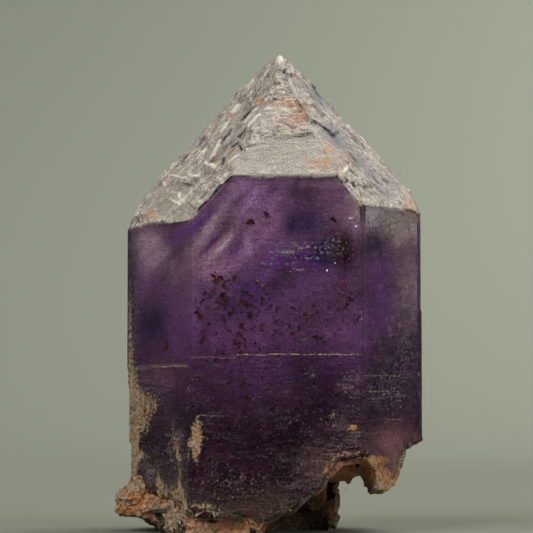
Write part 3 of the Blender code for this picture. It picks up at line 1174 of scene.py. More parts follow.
    def skin(self, local: np.ndarray, grain: np.ndarray, number: np.ndarray) -> np.ndarray:
        """Height of the etched skin.

        Args:
            local: Places in millimetres.
            grain: Grain coordinates in millimetres.
            number: Face number of each place.

        Returns:
            Heights in millimetres.
        """
        x, z = PHOTO.seen(local)
        flat = np.column_stack([grain, 7.0 * number])
        bend = 0.5 * noise_at(local, 0.30, seed=1.0, octaves=2)
        bent = flat + np.column_stack([bend, 0.5 * bend, 0.0 * bend])
        patchy = fade(noise_at(local, 0.30, seed=9.0, octaves=2), -0.25, 0.35)
        crevice = threads_at(bent, (0.30, 1.7, 1.0), seed=2.0, width=0.11) * patchy
        blade = threads_at(bent, (0.34, 1.5, 1.0), seed=5.0, width=0.14) * (0.2 + 0.8 * patchy)
        fibre = noise_at(bent, (0.8, 3.0, 1.0), seed=3.0, octaves=2)
        fine = noise_at(local, 2.6, seed=8.0, octaves=2)
        swell = noise_at(local, 0.8, seed=12.0, octaves=2)
        form = self.etched
        height = form.blade * blade - form.crevice * crevice + form.fibre * fibre
        height = height + form.fine * fine + form.swell * swell
        sides, tops = HABIT.gaps(local)
        rim = 1.0 - fade(tops.max(axis=1) - sides.max(axis=1), 0.2, 1.6)
        rim = rim * ~np.isin(number, (Side.FRONT, Side.BACK))
        beads = np.clip(noise_at(local, 2.6, seed=4.0, octaves=2), -0.1, 1.0)
        height = height + form.beads * rim * beads
        calm = np.clip(summed(self.calm, x, z), 0.0, 1.0)
        height = height * (1.0 - 0.85 * calm)
        ahead = np.isin(number, (Side.LEFT, Side.FRONT, Side.RIGHT))
        height = height + summed(self.ridges, x, z) * ahead
        across, level, radius = form.groove
        reach = np.hypot(x - across, z - level)
        groove = np.clip(1.0 - np.abs(reach - radius) / 0.12, 0.0, 1.0) * (z > level + 0.1)
        return height - form.lip * groove * (number == Side.FRONT)

    def lean(self, local: np.ndarray) -> np.ndarray:
        """Moves that fill the shallow step low on the left face towards the front.

        Args:
            local: Places on the left face in millimetres.

        Returns:
            Moves in millimetres.
        """
        sides, _ = HABIT.gaps(local)
        front, left = HABIT.prism_normals()[[Side.FRONT, Side.LEFT]]
        own = sides[:, Side.LEFT]
        way = np.tile(left, (len(local), 1))
        # Corners shared with the front face slide along that face
        way[sides[:, Side.FRONT] > -0.05] = (left - 0.5 * front) / 0.75
        full = fade(local[:, 2], 2.5, 5.0) * fade(-sides[:, Side.BACK_LEFT], 0.3, 2.2)
        wanted = -self.face_depth * (1.0 - full) - own
        held = (own < -HABIT.steps) | (local[:, 2] > 8.3) | (full < 0.01)
        return way * np.where(held, 0.0, wanted)[:, None]

    def relief(self, piece: Piece, kind: np.ndarray, number: np.ndarray) -> None:
        """Move the surface of the etched and broken zones and keep its height.

        Args:
            piece: The crystal.
            kind: Zone value of each face.
            number: Face number of each face.
        """
        mesh = piece.item.data
        local = HABIT.local(piece.places())
        owner = np.repeat(np.arange(len(mesh.polygons)), 3)
        corners = np.zeros(len(mesh.loops), dtype=int)
        mesh.loops.foreach_get("vertex_index", corners)
        zone = np.full(len(local), len(Zone))
        np.minimum.at(zone, corners, kind[owner])
        face = np.zeros(len(local), dtype=int)
        face[corners] = number[owner]
        height = np.zeros(len(local))
        top = zone == Zone.TERMINATION
        grain = HABIT.grain(local[top], zone[top], face[top])
        height[top] = self.skin(local[top], grain, face[top])
        root = zone == Zone.ROOT
        coarse, fine = self.crumbs
        crumbs = coarse * noise_at(local[root], 1.5, seed=6.0, octaves=3)
        height[root] = crumbs + fine * noise_at(local[root], 3.6, seed=2.0, octaves=2)
        normals = piece.places("vertex_normals", "vector")
        left = corners[(kind[owner] == Zone.PRISM) & (number[owner] == Side.LEFT)]
        move = np.zeros(local.shape)
        move[left] = self.lean(local[left])
        # The rest plane stays flat
        height = height * fade(piece.places()[:, 2], 0.02 * MM, 0.40 * MM)
        move = move + normals * (height * np.where(top, 0.75, 1.0))[:, None]
        mesh.vertices.foreach_set("co", (piece.places() + move * MM).ravel())
        mesh.update()
        # The stored height also sets the etched skin's tone, with painted shade in the crevices and
        # painted light on the blades
        piece.store("height", np.clip(height * 2.0, -0.5, 0.5))

    def masks(
        self, kind: np.ndarray, local: np.ndarray, normals: np.ndarray
    ) -> dict[str, np.ndarray]:
        """Values of the masks for corners.

        Args:
            kind: Zone value of each corner's face.
            local: Places in millimetres.
            normals: Normals of the corners' faces.

        Returns:
            Mask values by name.
        """
        x, z = PHOTO.seen(local)
        ahead = fade(-normals[:, 1], -0.2, 0.1)
        behind = 1.0 - ahead
        cloud = noise_at(local, (0.16, 0.16, 0.10), seed=3.0)
        height = local[:, 2]
        low = 1.0 - fade(height, 3.0, 17.0)
        # Coat and haze follow the zones in front, and clouds near the foot behind
        bare = np.clip(summed(self.bare, x, z), 0.0, 1.0)
        coat = summed(self.coat, x, z) * (1.0 - 0.8 * bare) * ahead
        coat += (0.30 * low + 0.45 * low * cloud + 0.25 * fade(cloud, 0.1, 0.5)) * behind
        film = summed(self.film, x, z) * ahead
        film += (0.35 * low + 0.3 * fade(cloud, -0.2, 0.4)) * behind
        # The broken root is coated all over
        sides, tops = HABIT.gaps(local)
        root = kind == Zone.ROOT
        broken = root & ((height < 6.5) | (sides.max(axis=1) < -0.6))
        coat = np.where(broken & (height < 11.0), 0.95, coat)
        # The termination is etched down to a ragged edge, and so are the shoulders
        edge = tops.max(axis=1) - sides.max(axis=1)
        frost = np.maximum(fade(edge, -0.22, 0.08), kind == Zone.TERMINATION)
        frost = 1.5 * np.where(root & (height > 24.0), 1.0, frost)
        frost = np.maximum(frost, summed(self.etch, x, z) * ahead)
        rust = 0.12 + summed(self.rust, x, z) * ahead + 0.3 * cloud * behind
        slate = summed(self.slate, x, z) * ahead + 0.3 * fade(cloud, 0.0, 0.5) * behind
        # Painted shade: the root is darkened where it looks down and, less, where it looks back,
        # except under the painted light and the painted glow
        deep = 0.75 * np.maximum(fade(-normals[:, 2], 0.2, 0.7), 0.6 * behind) * root
        # Painted light: most of the painted shade is taken off at the listed places
        deep = deep * (1.0 - 0.8 * np.clip(summed(self.painted_lit, x, z), 0.0, 1.0))
        # Painted glow: thin broken places are made pale pink as if light shone through them
        glow = np.clip(summed(self.glow, x, z), 0.0, 1.0) * root
        return {
            "frost": frost,
            "speck": summed(self.speck, x, z) * ahead,
            "grime": summed(self.grime, x, z) * ahead,
            "coat": coat,
            "film": film,
            "rust": np.clip(rust, 0.0, 1.0),
            "glow": glow,
            "deep": deep * (1.0 - glow),
            "slate": slate,
        }

    def build(self, finish: QuartzFinish) -> Piece:
        """Make the crystal piece in place of the CAD node.

        Args:
            finish: Material of the crystal.

        Returns:
            The piece.
        """
        source = bpy.data.objects[NODE]
        bm = bmesh.new()
        bm.from_mesh(source.data)
        bmesh.ops.transform(bm, matrix=source.matrix_world, verts=bm.verts)
        bmesh.ops.remove_doubles(bm, verts=bm.verts, dist=1e-7)
        self.solid = BVHTree.FromBMesh(bm)
        split_long(bm, self.edges, rear=2.3)
        piece = Piece("crystal", bm, finish.make())
        centres = HABIT.local(piece.places("polygons", "center"))
        normals = piece.places("polygons", "normal")
        kind, number = HABIT.zones(centres, normals)
        owner = np.repeat(np.arange(len(centres)), 3)
        corners = np.zeros(len(owner), dtype=int)
        piece.item.data.loops.foreach_get("vertex_index", corners)
        local = HABIT.local(piece.places())[corners]
        grain = HABIT.grain(local, kind[owner], number[owner])
        self.relief(piece, kind, number)
        piece.item.data.uv_layers.new(name="grain").data.foreach_set("uv", grain.ravel())
        for name, values in self.masks(kind[owner], local, normals[owner]).items():
            piece.store(name, values, "CORNER")
        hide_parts(NODE)
        return piece


@dataclass
class Phantom:
    """Nested growth zone, a smaller crystal of veils inside the point.

    Attributes:
        name: Piece name.
        inset: Depth under the prism faces in millimetres.
        drop: Depth under the termination faces in millimetres.
        foot: Height of its open end at the c axis.
        base: Veil density at the foot, in the middle and at the top.
        ground: Colours at the foot, in the middle and at the top.
        patches: Zones in the front view with their colour.
        edge: Longest edge of its mesh in millimetres.
        soft: Distance from its edges over which the veil fades, in millimetres.
        cover: Least depth under the crystal's surface in millimetres.
        broken: Height up to which the veil follows the broken root.
        lift: Gain on the colours, which are named as they look from outside, because light
            that leaves quartz spreads by the square of its index.
        painted_light_gain: Gain of the painted light that brightens the colours in the shadow under
            the etched skin.
    """

    name: str
    inset: float
    drop: float
    foot: float
    base: Triple
    ground: tuple[str, str, str]
    patches: tuple[tuple[str, Patch], ...]
    edge: float = 0.55
    soft: float = 1.6
    cover: float = 0.3
    broken: float = 12.0
    lift: float = 2.45
    painted_light_gain: float = 2.2

    def shape(self, solid: BVHTree) -> bmesh.types.BMesh:
        """Hexagonal body with its termination, cut from a cube and kept inside the crystal.

        Args:
            solid: Surface of the crystal.

        Returns:
            Geometry in metres.
        """
        bm = bmesh.new()
        bmesh.ops.create_cube(bm, size=0.12)
        tip = np.array(HABIT.tip)
        tops = zip(HABIT.pyramid_normals(), HABIT.pyramid)
        planes = [(n, d - self.inset) for n, d in zip(HABIT.prism_normals(), HABIT.prism)]
        planes += [(n, n @ tip + d - self.drop) for n, d in tops]
        planes.append((-UP, -self.foot))
        for normal, distance in planes:
            cut = {"plane_co": HABIT.world(tuple(normal * distance)), "plane_no": Vector(normal)}
            geometry = bm.verts[:] + bm.edges[:] + bm.faces[:]
            bmesh.ops.bisect_plane(bm, geom=geometry, clear_outer=True, **cut)
            bmesh.ops.holes_fill(bm, edges=[edge for edge in bm.edges if edge.is_boundary])
        bmesh.ops.triangulate(bm, faces=bm.faces)
        split_long(bm, (self.edge, self.edge, self.edge), rear=2.4)
        for vert in bm.verts:
            if vert.co.z < self.broken * MM:
                over = Vector((vert.co.x, vert.co.y, self.broken * MM))
                below, _, _, _ = solid.ray_cast(over, Vector((0.0, 0.0, -1.0)))
                vert.co.z = max(vert.co.z, below.z + self.cover * MM)
            near, normal, _, _ = solid.find_nearest(vert.co)
            if (near - vert.co).dot(normal) < self.cover * MM:
                vert.co = near - normal * self.cover * MM
        return bm

    def waves(self, local: np.ndarray) -> tuple[np.ndarray, np.ndarray]:
        """Clouds all over and slanting streaks in the upper left of the front view.

        Args:
            local: Places in millimetres.

        Returns:
            Noise of the clouds and of the streaks.
        """
        x, z = PHOTO.seen(local)
        cloud = noise_at(local, 0.22, seed=5.0 + self.inset, octaves=4)
        slanted = np.column_stack([0.74 * x - 0.67 * z, 0.67 * x + 0.74 * z, 0.0 * z])
        streaks = noise_at(slanted, (1.1, 0.16, 1.0), seed=8.0, octaves=3)
        return cloud, np.where(x < 2.0, streaks, 0.4 * cloud) * fade(z, 18.0, 22.0)

    def build(self, solid: BVHTree) -> Piece:
        """Make the veil piece.

        Args:
            solid: Surface of the crystal.

        Returns:
            The piece with its tint and its density on the vertices.
        """
        finish = VeilFinish(self.name + ", cloudy quartz")
        piece = Piece(self.name, self.shape(solid), finish.make())
        local = HABIT.local(piece.places())
        ahead = fade(-piece.places("vertex_normals", "vector")[:, 1], -0.2, 0.2)
        x, z = PHOTO.seen(local)
        cloud, wisps = self.waves(local)
        rise, upper = fade(z, 7.0, 18.6), fade(z, 15.0, 30.0)
        low, middle, high = (np.array(linear(code)) for code in self.ground)
        tint = low + (middle - low) * rise[:, None]
        tint = tint + (high - tint) * upper[:, None]
        low, middle, high = self.base
        veil = low + (middle - low) * rise
        veil = veil + (high - veil) * upper
        for code, patch in self.patches:
            share = patch.at(x, z) / patch.strength * (1.0 + 0.5 * cloud + 0.5 * wisps)
            share = np.clip(share, 0.0, 1.0) * ahead
            tint = tint + (np.array(linear(code)) - tint) * share[:, None]
            veil = veil + (patch.strength - veil) * share
        # The veil thins out at its own edges, so that they don't show as lines
        sides, tops = HABIT.gaps(local)
        side, top = sides.max(axis=1), tops.max(axis=1)
        depths = np.concatenate([sides + self.inset, tops + self.drop], axis=1)
        veil = veil * fade(-np.sort(depths, axis=1)[:, -2], -0.01, self.soft)
        veil = np.clip(veil * (1.0 + 0.10 * cloud), 0.0, 0.98)
        # Painted light: the upper rim lies in the shadow of the etched skin and is made lighter
        rim = fade(top + self.drop, -0.26, -0.02) * (top < side + 0.1)
        gain = (1.0 + 0.42 * cloud + 0.42 * wisps) * (1.0 + self.painted_light_gain * rim)
        tint[:, :3] = np.clip(tint[:, :3] * gain[:, None] * self.lift, 0.0, 0.9)
        piece.store("tint", tint)
        piece.store("veil", veil)
        return piece


PHANTOMS = (
    Phantom(
        name="phantom_outer",
        inset=0.50,
        drop=0.42,
        foot=1.0,
        edge=0.30,
        soft=0.0,
        base=(0.93, 0.90, 0.90),
        ground=("281020", "50305A", "765472"),
        patches=(
            ("745270", Patch(3.0, 30.4, 4.0, 0.9, 0.90)),
            ("705668", Patch(-6.0, 25.3, 2.6, 3.6, 0.90, -42.0)),
            ("886892", Patch(-1.7, 28.9, 2.0, 1.6, 0.90)),
            ("7E6A7A", Patch(-5.6, 28.8, 0.34, 2.3, 0.92, -42.0)),
            ("573072", Patch(-6.4, 26.7, 0.42, 2.4, 0.92, -49.0)),
            ("82707E", Patch(-5.2, 26.8, 0.40, 2.8, 0.92, -37.0)),
            ("44224E", Patch(-5.1, 25.3, 0.22, 1.8, 0.92, -42.0)),
            ("86707F", Patch(-4.7, 24.6, 0.28, 2.0, 0.92, -40.0)),
            ("B4A4AE", Patch(-4.5, 24.7, 0.12, 0.8, 0.92, -46.0)),
            ("8C6A8A", Patch(-4.2, 22.9, 0.6, 2.2, 0.92, -54.0)),
            ("90728C", Patch(-2.3, 24.7, 0.32, 1.3, 0.92, 10.0)),
            ("5A3A70", Patch(-3.3, 24.6, 0.30, 1.0, 0.92, -20.0)),
            ("42225E", Patch(-1.8, 20.8, 1.9, 1.4, 0.92, -25.0)),
            ("3A1C48", Patch(-3.9, 19.4, 1.1, 0.8, 0.92)),
            ("5A2676", Patch(1.8, 23.7, 3.0, 1.3, 0.92)),
            ("5C3A6E", Patch(1.0, 21.2, 2.2, 1.2, 0.92)),
            ("442A50", Patch(2.1, 29.4, 1.4, 0.7, 0.92)),
            ("1E1636", Patch(1.5, 26.6, 0.8, 1.2, 0.95)),
            ("2E1C4A", Patch(2.9, 27.0, 1.5, 1.6, 0.92)),
            ("211640", Patch(4.3, 24.3, 1.2, 1.7, 0.95)),
            ("6E525A", Patch(6.8, 28.3, 0.45, 1.1, 0.92, 14.0)),
            ("1A0412", Patch(6.0, 24.4, 1.1, 2.2, 0.95, 8.0)),
            ("3C1230", Patch(5.5, 23.6, 0.30, 0.5, 0.95)),
            ("421640", Patch(5.0, 26.0, 0.4, 0.4, 0.95)),
            ("604860", Patch(6.7, 20.8, 0.5, 1.1, 0.92)),
            ("623C64", Patch(3.4, 17.6, 3.4, 1.6, 0.92)),
            ("5E3664", Patch(-3.4, 16.6, 3.4, 1.6, 0.92)),
            ("280E2C", Patch(4.6, 11.8, 2.6, 2.2, 0.92)),
            ("1E061C", Patch(0.4, 8.2, 3.6, 2.2, 0.94)),
            ("5E4064", Patch(-8.6, 20.6, 0.9, 3.0, 0.90)),
            ("94828C", Patch(-10.6, 24.8, 1.5, 0.9, 0.92)),
            ("7E6878", Patch(-9.4, 23.4, 1.8, 1.2, 0.92, -30.0)),
            ("543470", Patch(-8.4, 25.4, 0.5, 0.9, 0.92, -60.0)),
            ("281836", Patch(-10.2, 18.1, 1.5, 1.9, 0.94)),
            ("241A26", Patch(-12.0, 21.0, 0.4, 5.0, 0.94)),
            ("583650", Patch(-9.6, 13.8, 1.8, 1.4, 0.90)),
            ("2A1220", Patch(-9.6, 7.4, 1.8, 2.6, 0.94)),
            ("E6CCCE", Patch(10.2, 27.4, 2.6, 1.5, 0.92)),
            ("EEC8C8", Patch(10.8, 26.2, 1.2, 1.4, 0.92)),
            ("281836", Patch(8.3, 24.6, 1.1, 1.6, 0.95)),
            ("7A3C92", Patch(7.9, 21.6, 0.25, 0.6, 0.92)),
            ("743A8A", Patch(8.5, 20.4, 0.25, 0.3, 0.92)),
            ("583268", Patch(8.8, 20.6, 1.1, 3.2, 0.92)),
            ("6A5666", Patch(11.2, 21.8, 0.9, 2.8, 0.92)),
            ("241826", Patch(11.2, 16.4, 0.9, 1.5, 0.94)),
            ("38203E", Patch(9.0, 15.2, 1.3, 1.8, 0.92)),
            ("221028", Patch(9.6, 12.6, 2.2, 2.4, 0.94)),
            ("6C4A52", Patch(9.8, 8.0, 2.0, 1.5, 0.94)),
            ("98685C", Patch(10.6, 5.6, 1.4, 1.6, 0.94)),
            ("3E2A22", Patch(-2.0, 2.2, 5.0, 1.2, 0.94)),
            ("5C4A42", Patch(4.4, 5.4, 2.0, 1.0, 0.94, -40.0)),
            # Painted shade: a thin dark line just inside the front right corner
            ("160A1E", Patch(7.36, 27.6, 0.11, 1.1, 0.95)),
        ),
    ),
    Phantom(
        name="phantom_middle",
        inset=2.4,
        drop=4.0,
        foot=1.8,
        edge=0.60,
        soft=2.0,
        base=(0.95, 0.92, 0.92),
        ground=("1C1014", "3C1E44", "583468"),
        patches=(
            ("24143A", Patch(2.8, 26.4, 2.6, 3.4, 0.95)),
            ("44103A", Patch(6.0, 24.0, 1.4, 2.6, 0.95, 10.0)),
            ("46207C", Patch(-2.6, 20.6, 2.6, 1.8, 0.90)),
            ("2E1A4A", Patch(-10.6, 17.4, 1.8, 2.0, 0.92)),
        ),
    ),
)


@dataclass(frozen=True)
class Cluster:
    """Group of flakes.

    Attributes:
        x: Sideways place of its middle in the front view, in millimetres.
        z: Height of its middle.
        wide: Spread sideways.
        high: Spread upwards.
        count: Number of flakes.
        size: Usual length of a flake.
    """

    x: float
    z: float
    wide: float
    high: float
    count: int
    size: float


@dataclass
class Flakes:
    """Flat inclusions scattered just under the three front faces.

    Attributes:
        name: Piece name.
        finish: Their material.
        seed: Start of the random draws.
        clusters: Random groups.
        single: Flakes listed one by one, each x, z, length and turn in degrees.
        depths: Least and greatest depth of the random flakes in millimetres.
        tilt: Spread of their lean against the face in radians.
        faced: Lean of the listed flakes, up and to the left in degrees.
        swing: Range of the random flakes' turn in the face in radians.
        plump: Width of the listed flakes, against their length.
        single_depth: Usual depth of the listed flakes in millimetres.
        cover: Least depth of the listed flakes.
        thick: Thickness of a flake.
        reach: Farthest place to the side, so that none leaves the narrow edge of a side face.
        corner: Sideways place of the front face's corners.
    """

    name: str
    finish: FlakeFinish
    seed: int
    clusters: tuple[Cluster, ...]
    single: tuple[tuple[float, float, float, float], ...] = ()
    depths: tuple[float, float] = (0.10, 0.42)
    tilt: float = 0.4
    faced: tuple[float, float] = (0.0, 0.0)
    swing: float = math.tau
    plump: float = 0.8
    single_depth: float = 0.22
    cover: float = 0.15
    thick: float = 0.03
    reach: float = 11.5
    corner: float = 7.3

    def flake(
        self, bm: bmesh.types.BMesh, place: Vector, size: float, turn: Matrix, plump: float
    ) -> None:
        """Add one bent half-moon flake.

        Args:
            bm: Geometry that gets the flake.
            place: Its middle in metres.
            size: Length in metres.
            turn: Its direction.
            plump: Width against length.
        """
        made = bmesh.ops.create_circle(bm, cap_ends=True, segments=12, radius=size / 2)
        disc = made["verts"]
        faces = list({face for vert in disc for face in vert.link_faces})
        # One side is nearly straight, and the two ends bend down and up
        for vert in disc:
            bow = (vert.co.x / (size / 2)) ** 2
            width = vert.co.y * plump
            if vert.co.y < 0.0:
                width *= 0.2
            vert.co = Vector((vert.co.x, width + 0.16 * size * (1.0 - bow), 0.10 * size * bow))
        hull = bmesh.ops.extrude_face_region(bm, geom=faces)
        top = [item for item in hull["geom"] if isinstance(item, bmesh.types.BMVert)]
        bmesh.ops.translate(bm, vec=(0.0, 0.0, self.thick * MM), verts=top)
        bmesh.ops.transform(bm, matrix=Matrix.Translation(place) @ turn, verts=disc + top)

    def spot(self, x: float, z: float, depth: float) -> Vector:
        """Place under one of the three front faces.

        Args:
            x: Sideways place in the front view in millimetres.
            z: Height in the front view.
            depth: Depth under the face.

        Returns:
            Place in metres.
        """
        shrink = PHOTO.front_pixel / PHOTO.pixel
        middle, level = PHOTO.middle
        near = (x - middle) * shrink + middle
        tall = (z - level) * shrink + level - PHOTO.sink
        past = abs(near) - min(abs(near), self.corner)
        slope = math.tan(math.radians(HABIT.angles[Side.RIGHT]))
        return HABIT.world((near, -HABIT.prism[Side.FRONT] + past * slope + depth, tall))

    def build(self, solid: BVHTree) -> Piece:
        """Make all flakes as one piece.

        Args:
            solid: Surface of the crystal.

        Returns:
            The piece.
        """
        rng = random.Random(self.seed)
        bm = bmesh.new()
        flat = Matrix.Rotation(math.pi / 2, 4, "X")
        up, left = (math.radians(angle) for angle in self.faced)
        lean = Matrix.Rotation(-left, 4, "Z") @ Matrix.Rotation(-up, 4, "X")
        for x, z, size, turn in self.single:
            stand = lean @ Matrix.Rotation(-math.radians(turn), 4, "Y") @ flat
            place = self.spot(x, z, self.single_depth)
            near, normal, _, _ = solid.find_nearest(place)
            if (near - place).dot(normal) < self.cover * MM:
                place = near - normal * self.cover * MM
            self.flake(bm, place, size * MM, stand, self.plump)
        for group in self.clusters:
            for _ in range(group.count):
                x = rng.gauss(group.x, group.wide)
                z = rng.gauss(group.z, group.high)
                x = max(-self.reach, min(x, self.reach))
                place = self.spot(x, z, rng.uniform(*self.depths))
                lean = Matrix.Rotation(rng.gauss(0.0, self.tilt), 4, "X")
                turn = Matrix.Rotation(rng.uniform(0.0, self.swing), 4, "Y") @ flat @ lean
                size = group.size * rng.uniform(0.55, 1.6) * MM
                plump = rng.uniform(0.35, 0.95)
                near, normal, _, _ = solid.find_nearest(place)
                deep = (near - place).dot(normal) > 0.5 * self.depths[0] * MM
                sides, _ = HABIT.gaps(HABIT.local(np.array([place])))
                if deep and sides[0, [Side.BACK_RIGHT, Side.BACK_LEFT]].max() < -0.5:
                    self.flake(bm, place, size, turn, plump)
        bmesh.ops.recalc_face_normals(bm, faces=bm.faces)
        return Piece(self.name, bm, self.finish.make())


INCLUSIONS = (
    Flakes(
        name="red_flakes",
        finish=FlakeFinish("iron oxide flakes, dull dark red", "36080C", "681012"),
        seed=7,
        clusters=(
            Cluster(-3.9, 19.4, 1.9, 1.5, 80, 0.40),
            Cluster(0.2, 18.2, 2.6, 1.5, 54, 0.34),
            Cluster(5.0, 18.4, 1.3, 1.8, 26, 0.30),
            Cluster(-3.6, 15.8, 2.8, 1.2, 80, 0.27),
            Cluster(-4.2, 13.0, 2.2, 1.3, 40, 0.26),
            Cluster(2.0, 12.4, 2.8, 2.2, 46, 0.24),
            Cluster(-9.4, 16.0, 1.0, 1.9, 44, 0.27),
            Cluster(-2.0, 9.0, 3.0, 1.8, 30, 0.22),
            Cluster(5.6, 22.4, 1.0, 1.6, 10, 0.30),
        ),
        single=(
            (-2.1, 26.6, 0.80, 5.0),
            (-0.9, 27.4, 0.66, -60.0),
            (-4.7, 21.9, 0.62, -35.0),
            (-3.3, 21.9, 0.74, 62.0),
            (-4.2, 21.4, 0.70, 95.0),
            (-5.9, 20.6, 0.50, 50.0),
            (-4.4, 20.5, 0.60, 12.0),
            (-4.0, 20.1, 0.66, 70.0),
            (-2.5, 19.6, 0.70, 8.0),
            (4.9, 26.9, 0.62, -20.0),
            (1.9, 23.8, 0.40, 30.0),
            (3.1, 23.8, 0.42, 60.0),
            (3.9, 16.7, 0.46, -30.0),
            (6.3, 20.2, 0.50, -25.0),
        ),
    ),
    Flakes(
        name="spangles",
        finish=FlakeFinish("haematite spangles, ruby red", "70103C", "C0286A", 0.4, 0.5),
        seed=11,
        clusters=(
            Cluster(6.0, 23.7, 0.55, 1.3, 34, 0.16),
            Cluster(5.9, 21.3, 0.3, 0.3, 7, 0.18),
            Cluster(8.9, 22.6, 0.6, 0.8, 5, 0.16),
        ),
        depths=(0.10, 0.40),
        tilt=0.8,
    ),
    Flakes(
        name="dark_grains",
        finish=FlakeFinish("goethite grains, brown black", "0A0608", "241012", 0.6, 0.8),
        seed=17,
        clusters=(
            Cluster(-3.0, 17.6, 3.0, 2.6, 110, 0.15),
            Cluster(-1.0, 10.4, 3.6, 3.0, 150, 0.14),
            Cluster(4.2, 17.0, 2.0, 3.0, 80, 0.14),
            Cluster(-9.4, 15.0, 1.0, 4.0, 60, 0.14),
            Cluster(9.6, 16.0, 1.2, 5.0, 80, 0.14),
            Cluster(8.2, 25.0, 0.6, 1.0, 40, 0.12),
            Cluster(0.0, 26.0, 3.6, 2.0, 80, 0.12),
        ),
        single=(
            (-6.4, 26.0, 0.26, 20.0),
            (4.9, 26.9, 0.40, -30.0),
            (3.1, 23.8, 0.40, 60.0),
            (3.95, 16.6, 0.50, -30.0),
        ),
        depths=(0.08, 0.35),
        tilt=0.7,
    ),
    Flakes(
        name="ochre_grains",
        finish=FlakeFinish("limonite grains, ochre", "4E4424", "B0A070", 0.7, 0.3),
        seed=19,
        clusters=(
            Cluster(1.2, 9.6, 0.5, 0.3, 9, 0.16),
            Cluster(4.6, 9.8, 0.7, 0.8, 14, 0.16),
            Cluster(5.0, 7.4, 1.8, 1.4, 60, 0.12),
            Cluster(-4.6, 3.0, 2.0, 1.2, 50, 0.13),
            Cluster(0.0, 5.0, 4.0, 2.0, 50, 0.10),
            Cluster(9.6, 9.6, 1.2, 2.4, 30, 0.11),
        ),
        single=(
            (-1.37, 21.7, 0.36, 40.0),
            (-1.15, 21.3, 0.30, -30.0),
            (3.7, 9.4, 0.26, 0.0),
            (4.8, 10.0, 0.30, 70.0),
        ),
        depths=(0.02, 0.06),
        tilt=0.3,
    ),
    Flakes(
        name="fluid_films",
        finish=FlakeFinish("fluid films, silvery", "B8A4DC", "FFFFFF", 0.3, 0.6, 1.0),
        seed=13,
        clusters=(
            Cluster(4.6, 24.2, 0.8, 0.8, 14, 0.09),
            Cluster(1.0, 24.3, 1.3, 0.45, 20, 0.10),
            Cluster(10.4, 22.6, 0.9, 2.2, 20, 0.11),
            Cluster(8.2, 17.4, 0.5, 1.0, 12, 0.09),
        ),
        single=(
            (6.5, 27.05, 0.34, 0.0),
            (6.99, 26.35, 0.36, 20.0),
            (4.5, 22.6, 0.24, 60.0),
            (-11.9, 24.1, 0.24, 0.0),
            (11.5, 22.6, 0.20, 0.0),
        ),
        depths=(0.06, 0.25),
        tilt=0.8,
        faced=(12.0, 9.5),
    ),
    Flakes(
        name="fluid_threads",
        finish=FlakeFinish("fluid films, pale violet grey", "7A6A92", "D8C8EC", 0.4, 0.5),
        seed=23,
        clusters=(
            Cluster(0.9, 25.0, 1.3, 0.05, 16, 0.20),
            Cluster(1.6, 24.55, 1.7, 0.05, 22, 0.24),
            Cluster(1.4, 24.1, 1.5, 0.05, 18, 0.24),
            Cluster(2.2, 23.65, 1.5, 0.07, 18, 0.20),
            Cluster(1.0, 23.2, 1.3, 0.07, 14, 0.18),
            Cluster(1.4, 22.7, 1.4, 0.08, 10, 0.18),
            Cluster(4.6, 24.6, 0.7, 0.8, 14, 0.14),
        ),
        depths=(0.06, 0.25),
        tilt=0.5,
        swing=0.3,
    ),
)


@dataclass(frozen=True)
class Lamp:
    """Soft square light aimed at the crystal.

    Attributes:
        name: Its name.
        place: Where it stands in metres.
        size: Side length in metres.
        power: Watts.
        aim: Point it looks at in metres.
    """

    name: str
    place: Triple
    size: float
    power: float
    aim: Triple = (0.0, 0.0, 0.022)


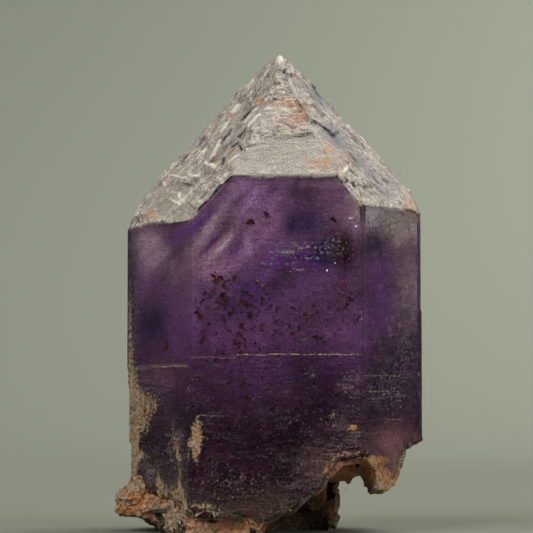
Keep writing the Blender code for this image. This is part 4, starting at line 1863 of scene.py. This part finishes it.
@dataclass(frozen=True)
class Studio:
    """Plain seamless paper, soft lights and the camera of the photograph.

    Attributes:
        paper: Colour of floor and wall.
        sky: Brightness of the room as it lights the crystal.
        distant: Brightness of the room behind the crystal in views past the paper.
        lamps: The soft lights.
        tint: Colour of the lamps, a little warm.
        room: Colour of the room.
        reach: Half width of the paper in metres.
        ahead: Depth of the floor in front of the crystal.
        behind: Depth of the flat floor behind the crystal.
        bend: Radius of the paper's bend.
        steps: Facets of the bend.
        height: Height of the wall.
        sensor: Width of the camera's sensor in millimetres.
    """

    paper: str = "70756A"
    sky: float = 0.045
    distant: float = 0.32
    lamps: tuple[Lamp, ...] = (
        Lamp("key", (-0.60, -0.70, 0.75), 0.8, 11.6),
        Lamp("fill", (0.70, -0.55, 0.62), 0.8, 6.2),
        Lamp("top", (0.36, 0.26, 0.75), 0.5, 6.4, (0.12, 0.10, 0.0)),
        Lamp("wall_light", (0.18, 0.32, 0.24), 0.12, 0.48, (0.09, 0.48, 0.19)),
    )
    tint: str = "FFFBF4"
    room: str = "E6E8E0"
    reach: float = 0.13
    ahead: float = 0.05
    behind: float = 0.30
    bend: float = 0.18
    steps: int = 24
    height: float = 0.9
    sensor: float = 36.0

    def backdrop(self) -> None:
        """Floor that bends up into a wall."""
        bm = bmesh.new()
        profile = [(-self.ahead, 0.0), (self.behind, 0.0)]
        for step in range(1, self.steps + 1):
            turn = math.pi / 2 * step / self.steps
            rise = self.bend * (1.0 - math.cos(turn))
            profile.append((self.behind + self.bend * math.sin(turn), rise))
        profile.append((self.behind + self.bend, self.height))
        verts = [bm.verts.new((-self.reach, y, z)) for y, z in profile]
        edges = [bm.edges.new(pair) for pair in zip(verts, verts[1:])]
        swept = bmesh.ops.extrude_edge_only(bm, edges=edges)
        moved = [item for item in swept["geom"] if isinstance(item, bmesh.types.BMVert)]
        bmesh.ops.translate(bm, vec=(2.0 * self.reach, 0.0, 0.0), verts=moved)
        bmesh.ops.recalc_face_normals(bm, faces=bm.faces)
        mesh = bpy.data.meshes.new("paper")
        bm.to_mesh(mesh)
        bm.free()
        mesh.shade_smooth()
        t = Nodes(bpy.data.materials.new("matt paper"))
        matt = t.add("BsdfPrincipled", {"Base Color": linear(self.paper), "Roughness": 0.9})
        mesh.materials.append(t.close(matt))
        item = bpy.data.objects.new("paper", mesh)
        bpy.context.scene.collection.objects.link(item)

    def lights(self) -> None:
        """Room light and soft lamps."""
        world = bpy.data.worlds.new("studio")
        t = Nodes(world)
        # The room lights the crystal softly, but looks pale in views past the paper
        seen = t.add("LightPath", out="Is Camera Ray")
        level = t.add("MapRange", {"Value": seen, "To Min": self.sky, "To Max": self.distant})
        room = t.add("Background", {"Color": linear(self.room), "Strength": level})
        t.add("OutputWorld", {"Surface": room})
        bpy.context.scene.world = world
        for lamp in self.lamps:
            data = bpy.data.lights.new(lamp.name, "AREA")
            data.size = lamp.size
            data.energy = lamp.power
            data.color = linear(self.tint)[:3]
            item = bpy.data.objects.new(lamp.name, data)
            item.location = lamp.place
            aim = Vector(lamp.aim) - Vector(lamp.place)
            item.rotation_euler = aim.to_track_quat("-Z", "Y").to_euler()
            bpy.context.scene.collection.objects.link(item)

    def camera(self) -> None:
        """Camera at the photograph's place, a little under the middle."""
        data = bpy.data.cameras.new("photo")
        data.sensor_width = self.sensor
        data.lens = self.sensor * PHOTO.distance / (PHOTO.frame * PHOTO.pixel)
        data.clip_start = 0.005
        data.clip_end = 10.0
        item = bpy.data.objects.new("photo", data)
        tilt = math.radians(PHOTO.tilt)
        ahead = Vector((0.0, math.cos(tilt), -math.sin(tilt)))
        item.location = HABIT.world(PHOTO.aim()) - ahead * PHOTO.distance * MM
        item.rotation_euler = ahead.to_track_quat("-Z", "Y").to_euler()
        bpy.context.scene.collection.objects.link(item)
        bpy.context.scene.camera = item
        LOG.info("camera at %s, %.1f mm lens", tuple(item.location), data.lens)


def keep_sizes() -> None:
    """Update the view layer after dressing.
    """
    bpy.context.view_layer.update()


def main() -> None:
    """Build the crystal, its inner life and the studio."""
    logging.basicConfig(level=logging.INFO, format="%(message)s")
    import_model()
    body = CrystalBody()
    body.build(QuartzFinish())
    for phantom in PHANTOMS:
        phantom.build(body.solid)
    for flakes in INCLUSIONS:
        flakes.build(body.solid)
    studio = Studio()
    studio.backdrop()
    studio.lights()
    studio.camera()
    bpy.context.scene.view_settings.view_transform = "Standard"
    keep_sizes()


if __name__ == "__main__":
    main()
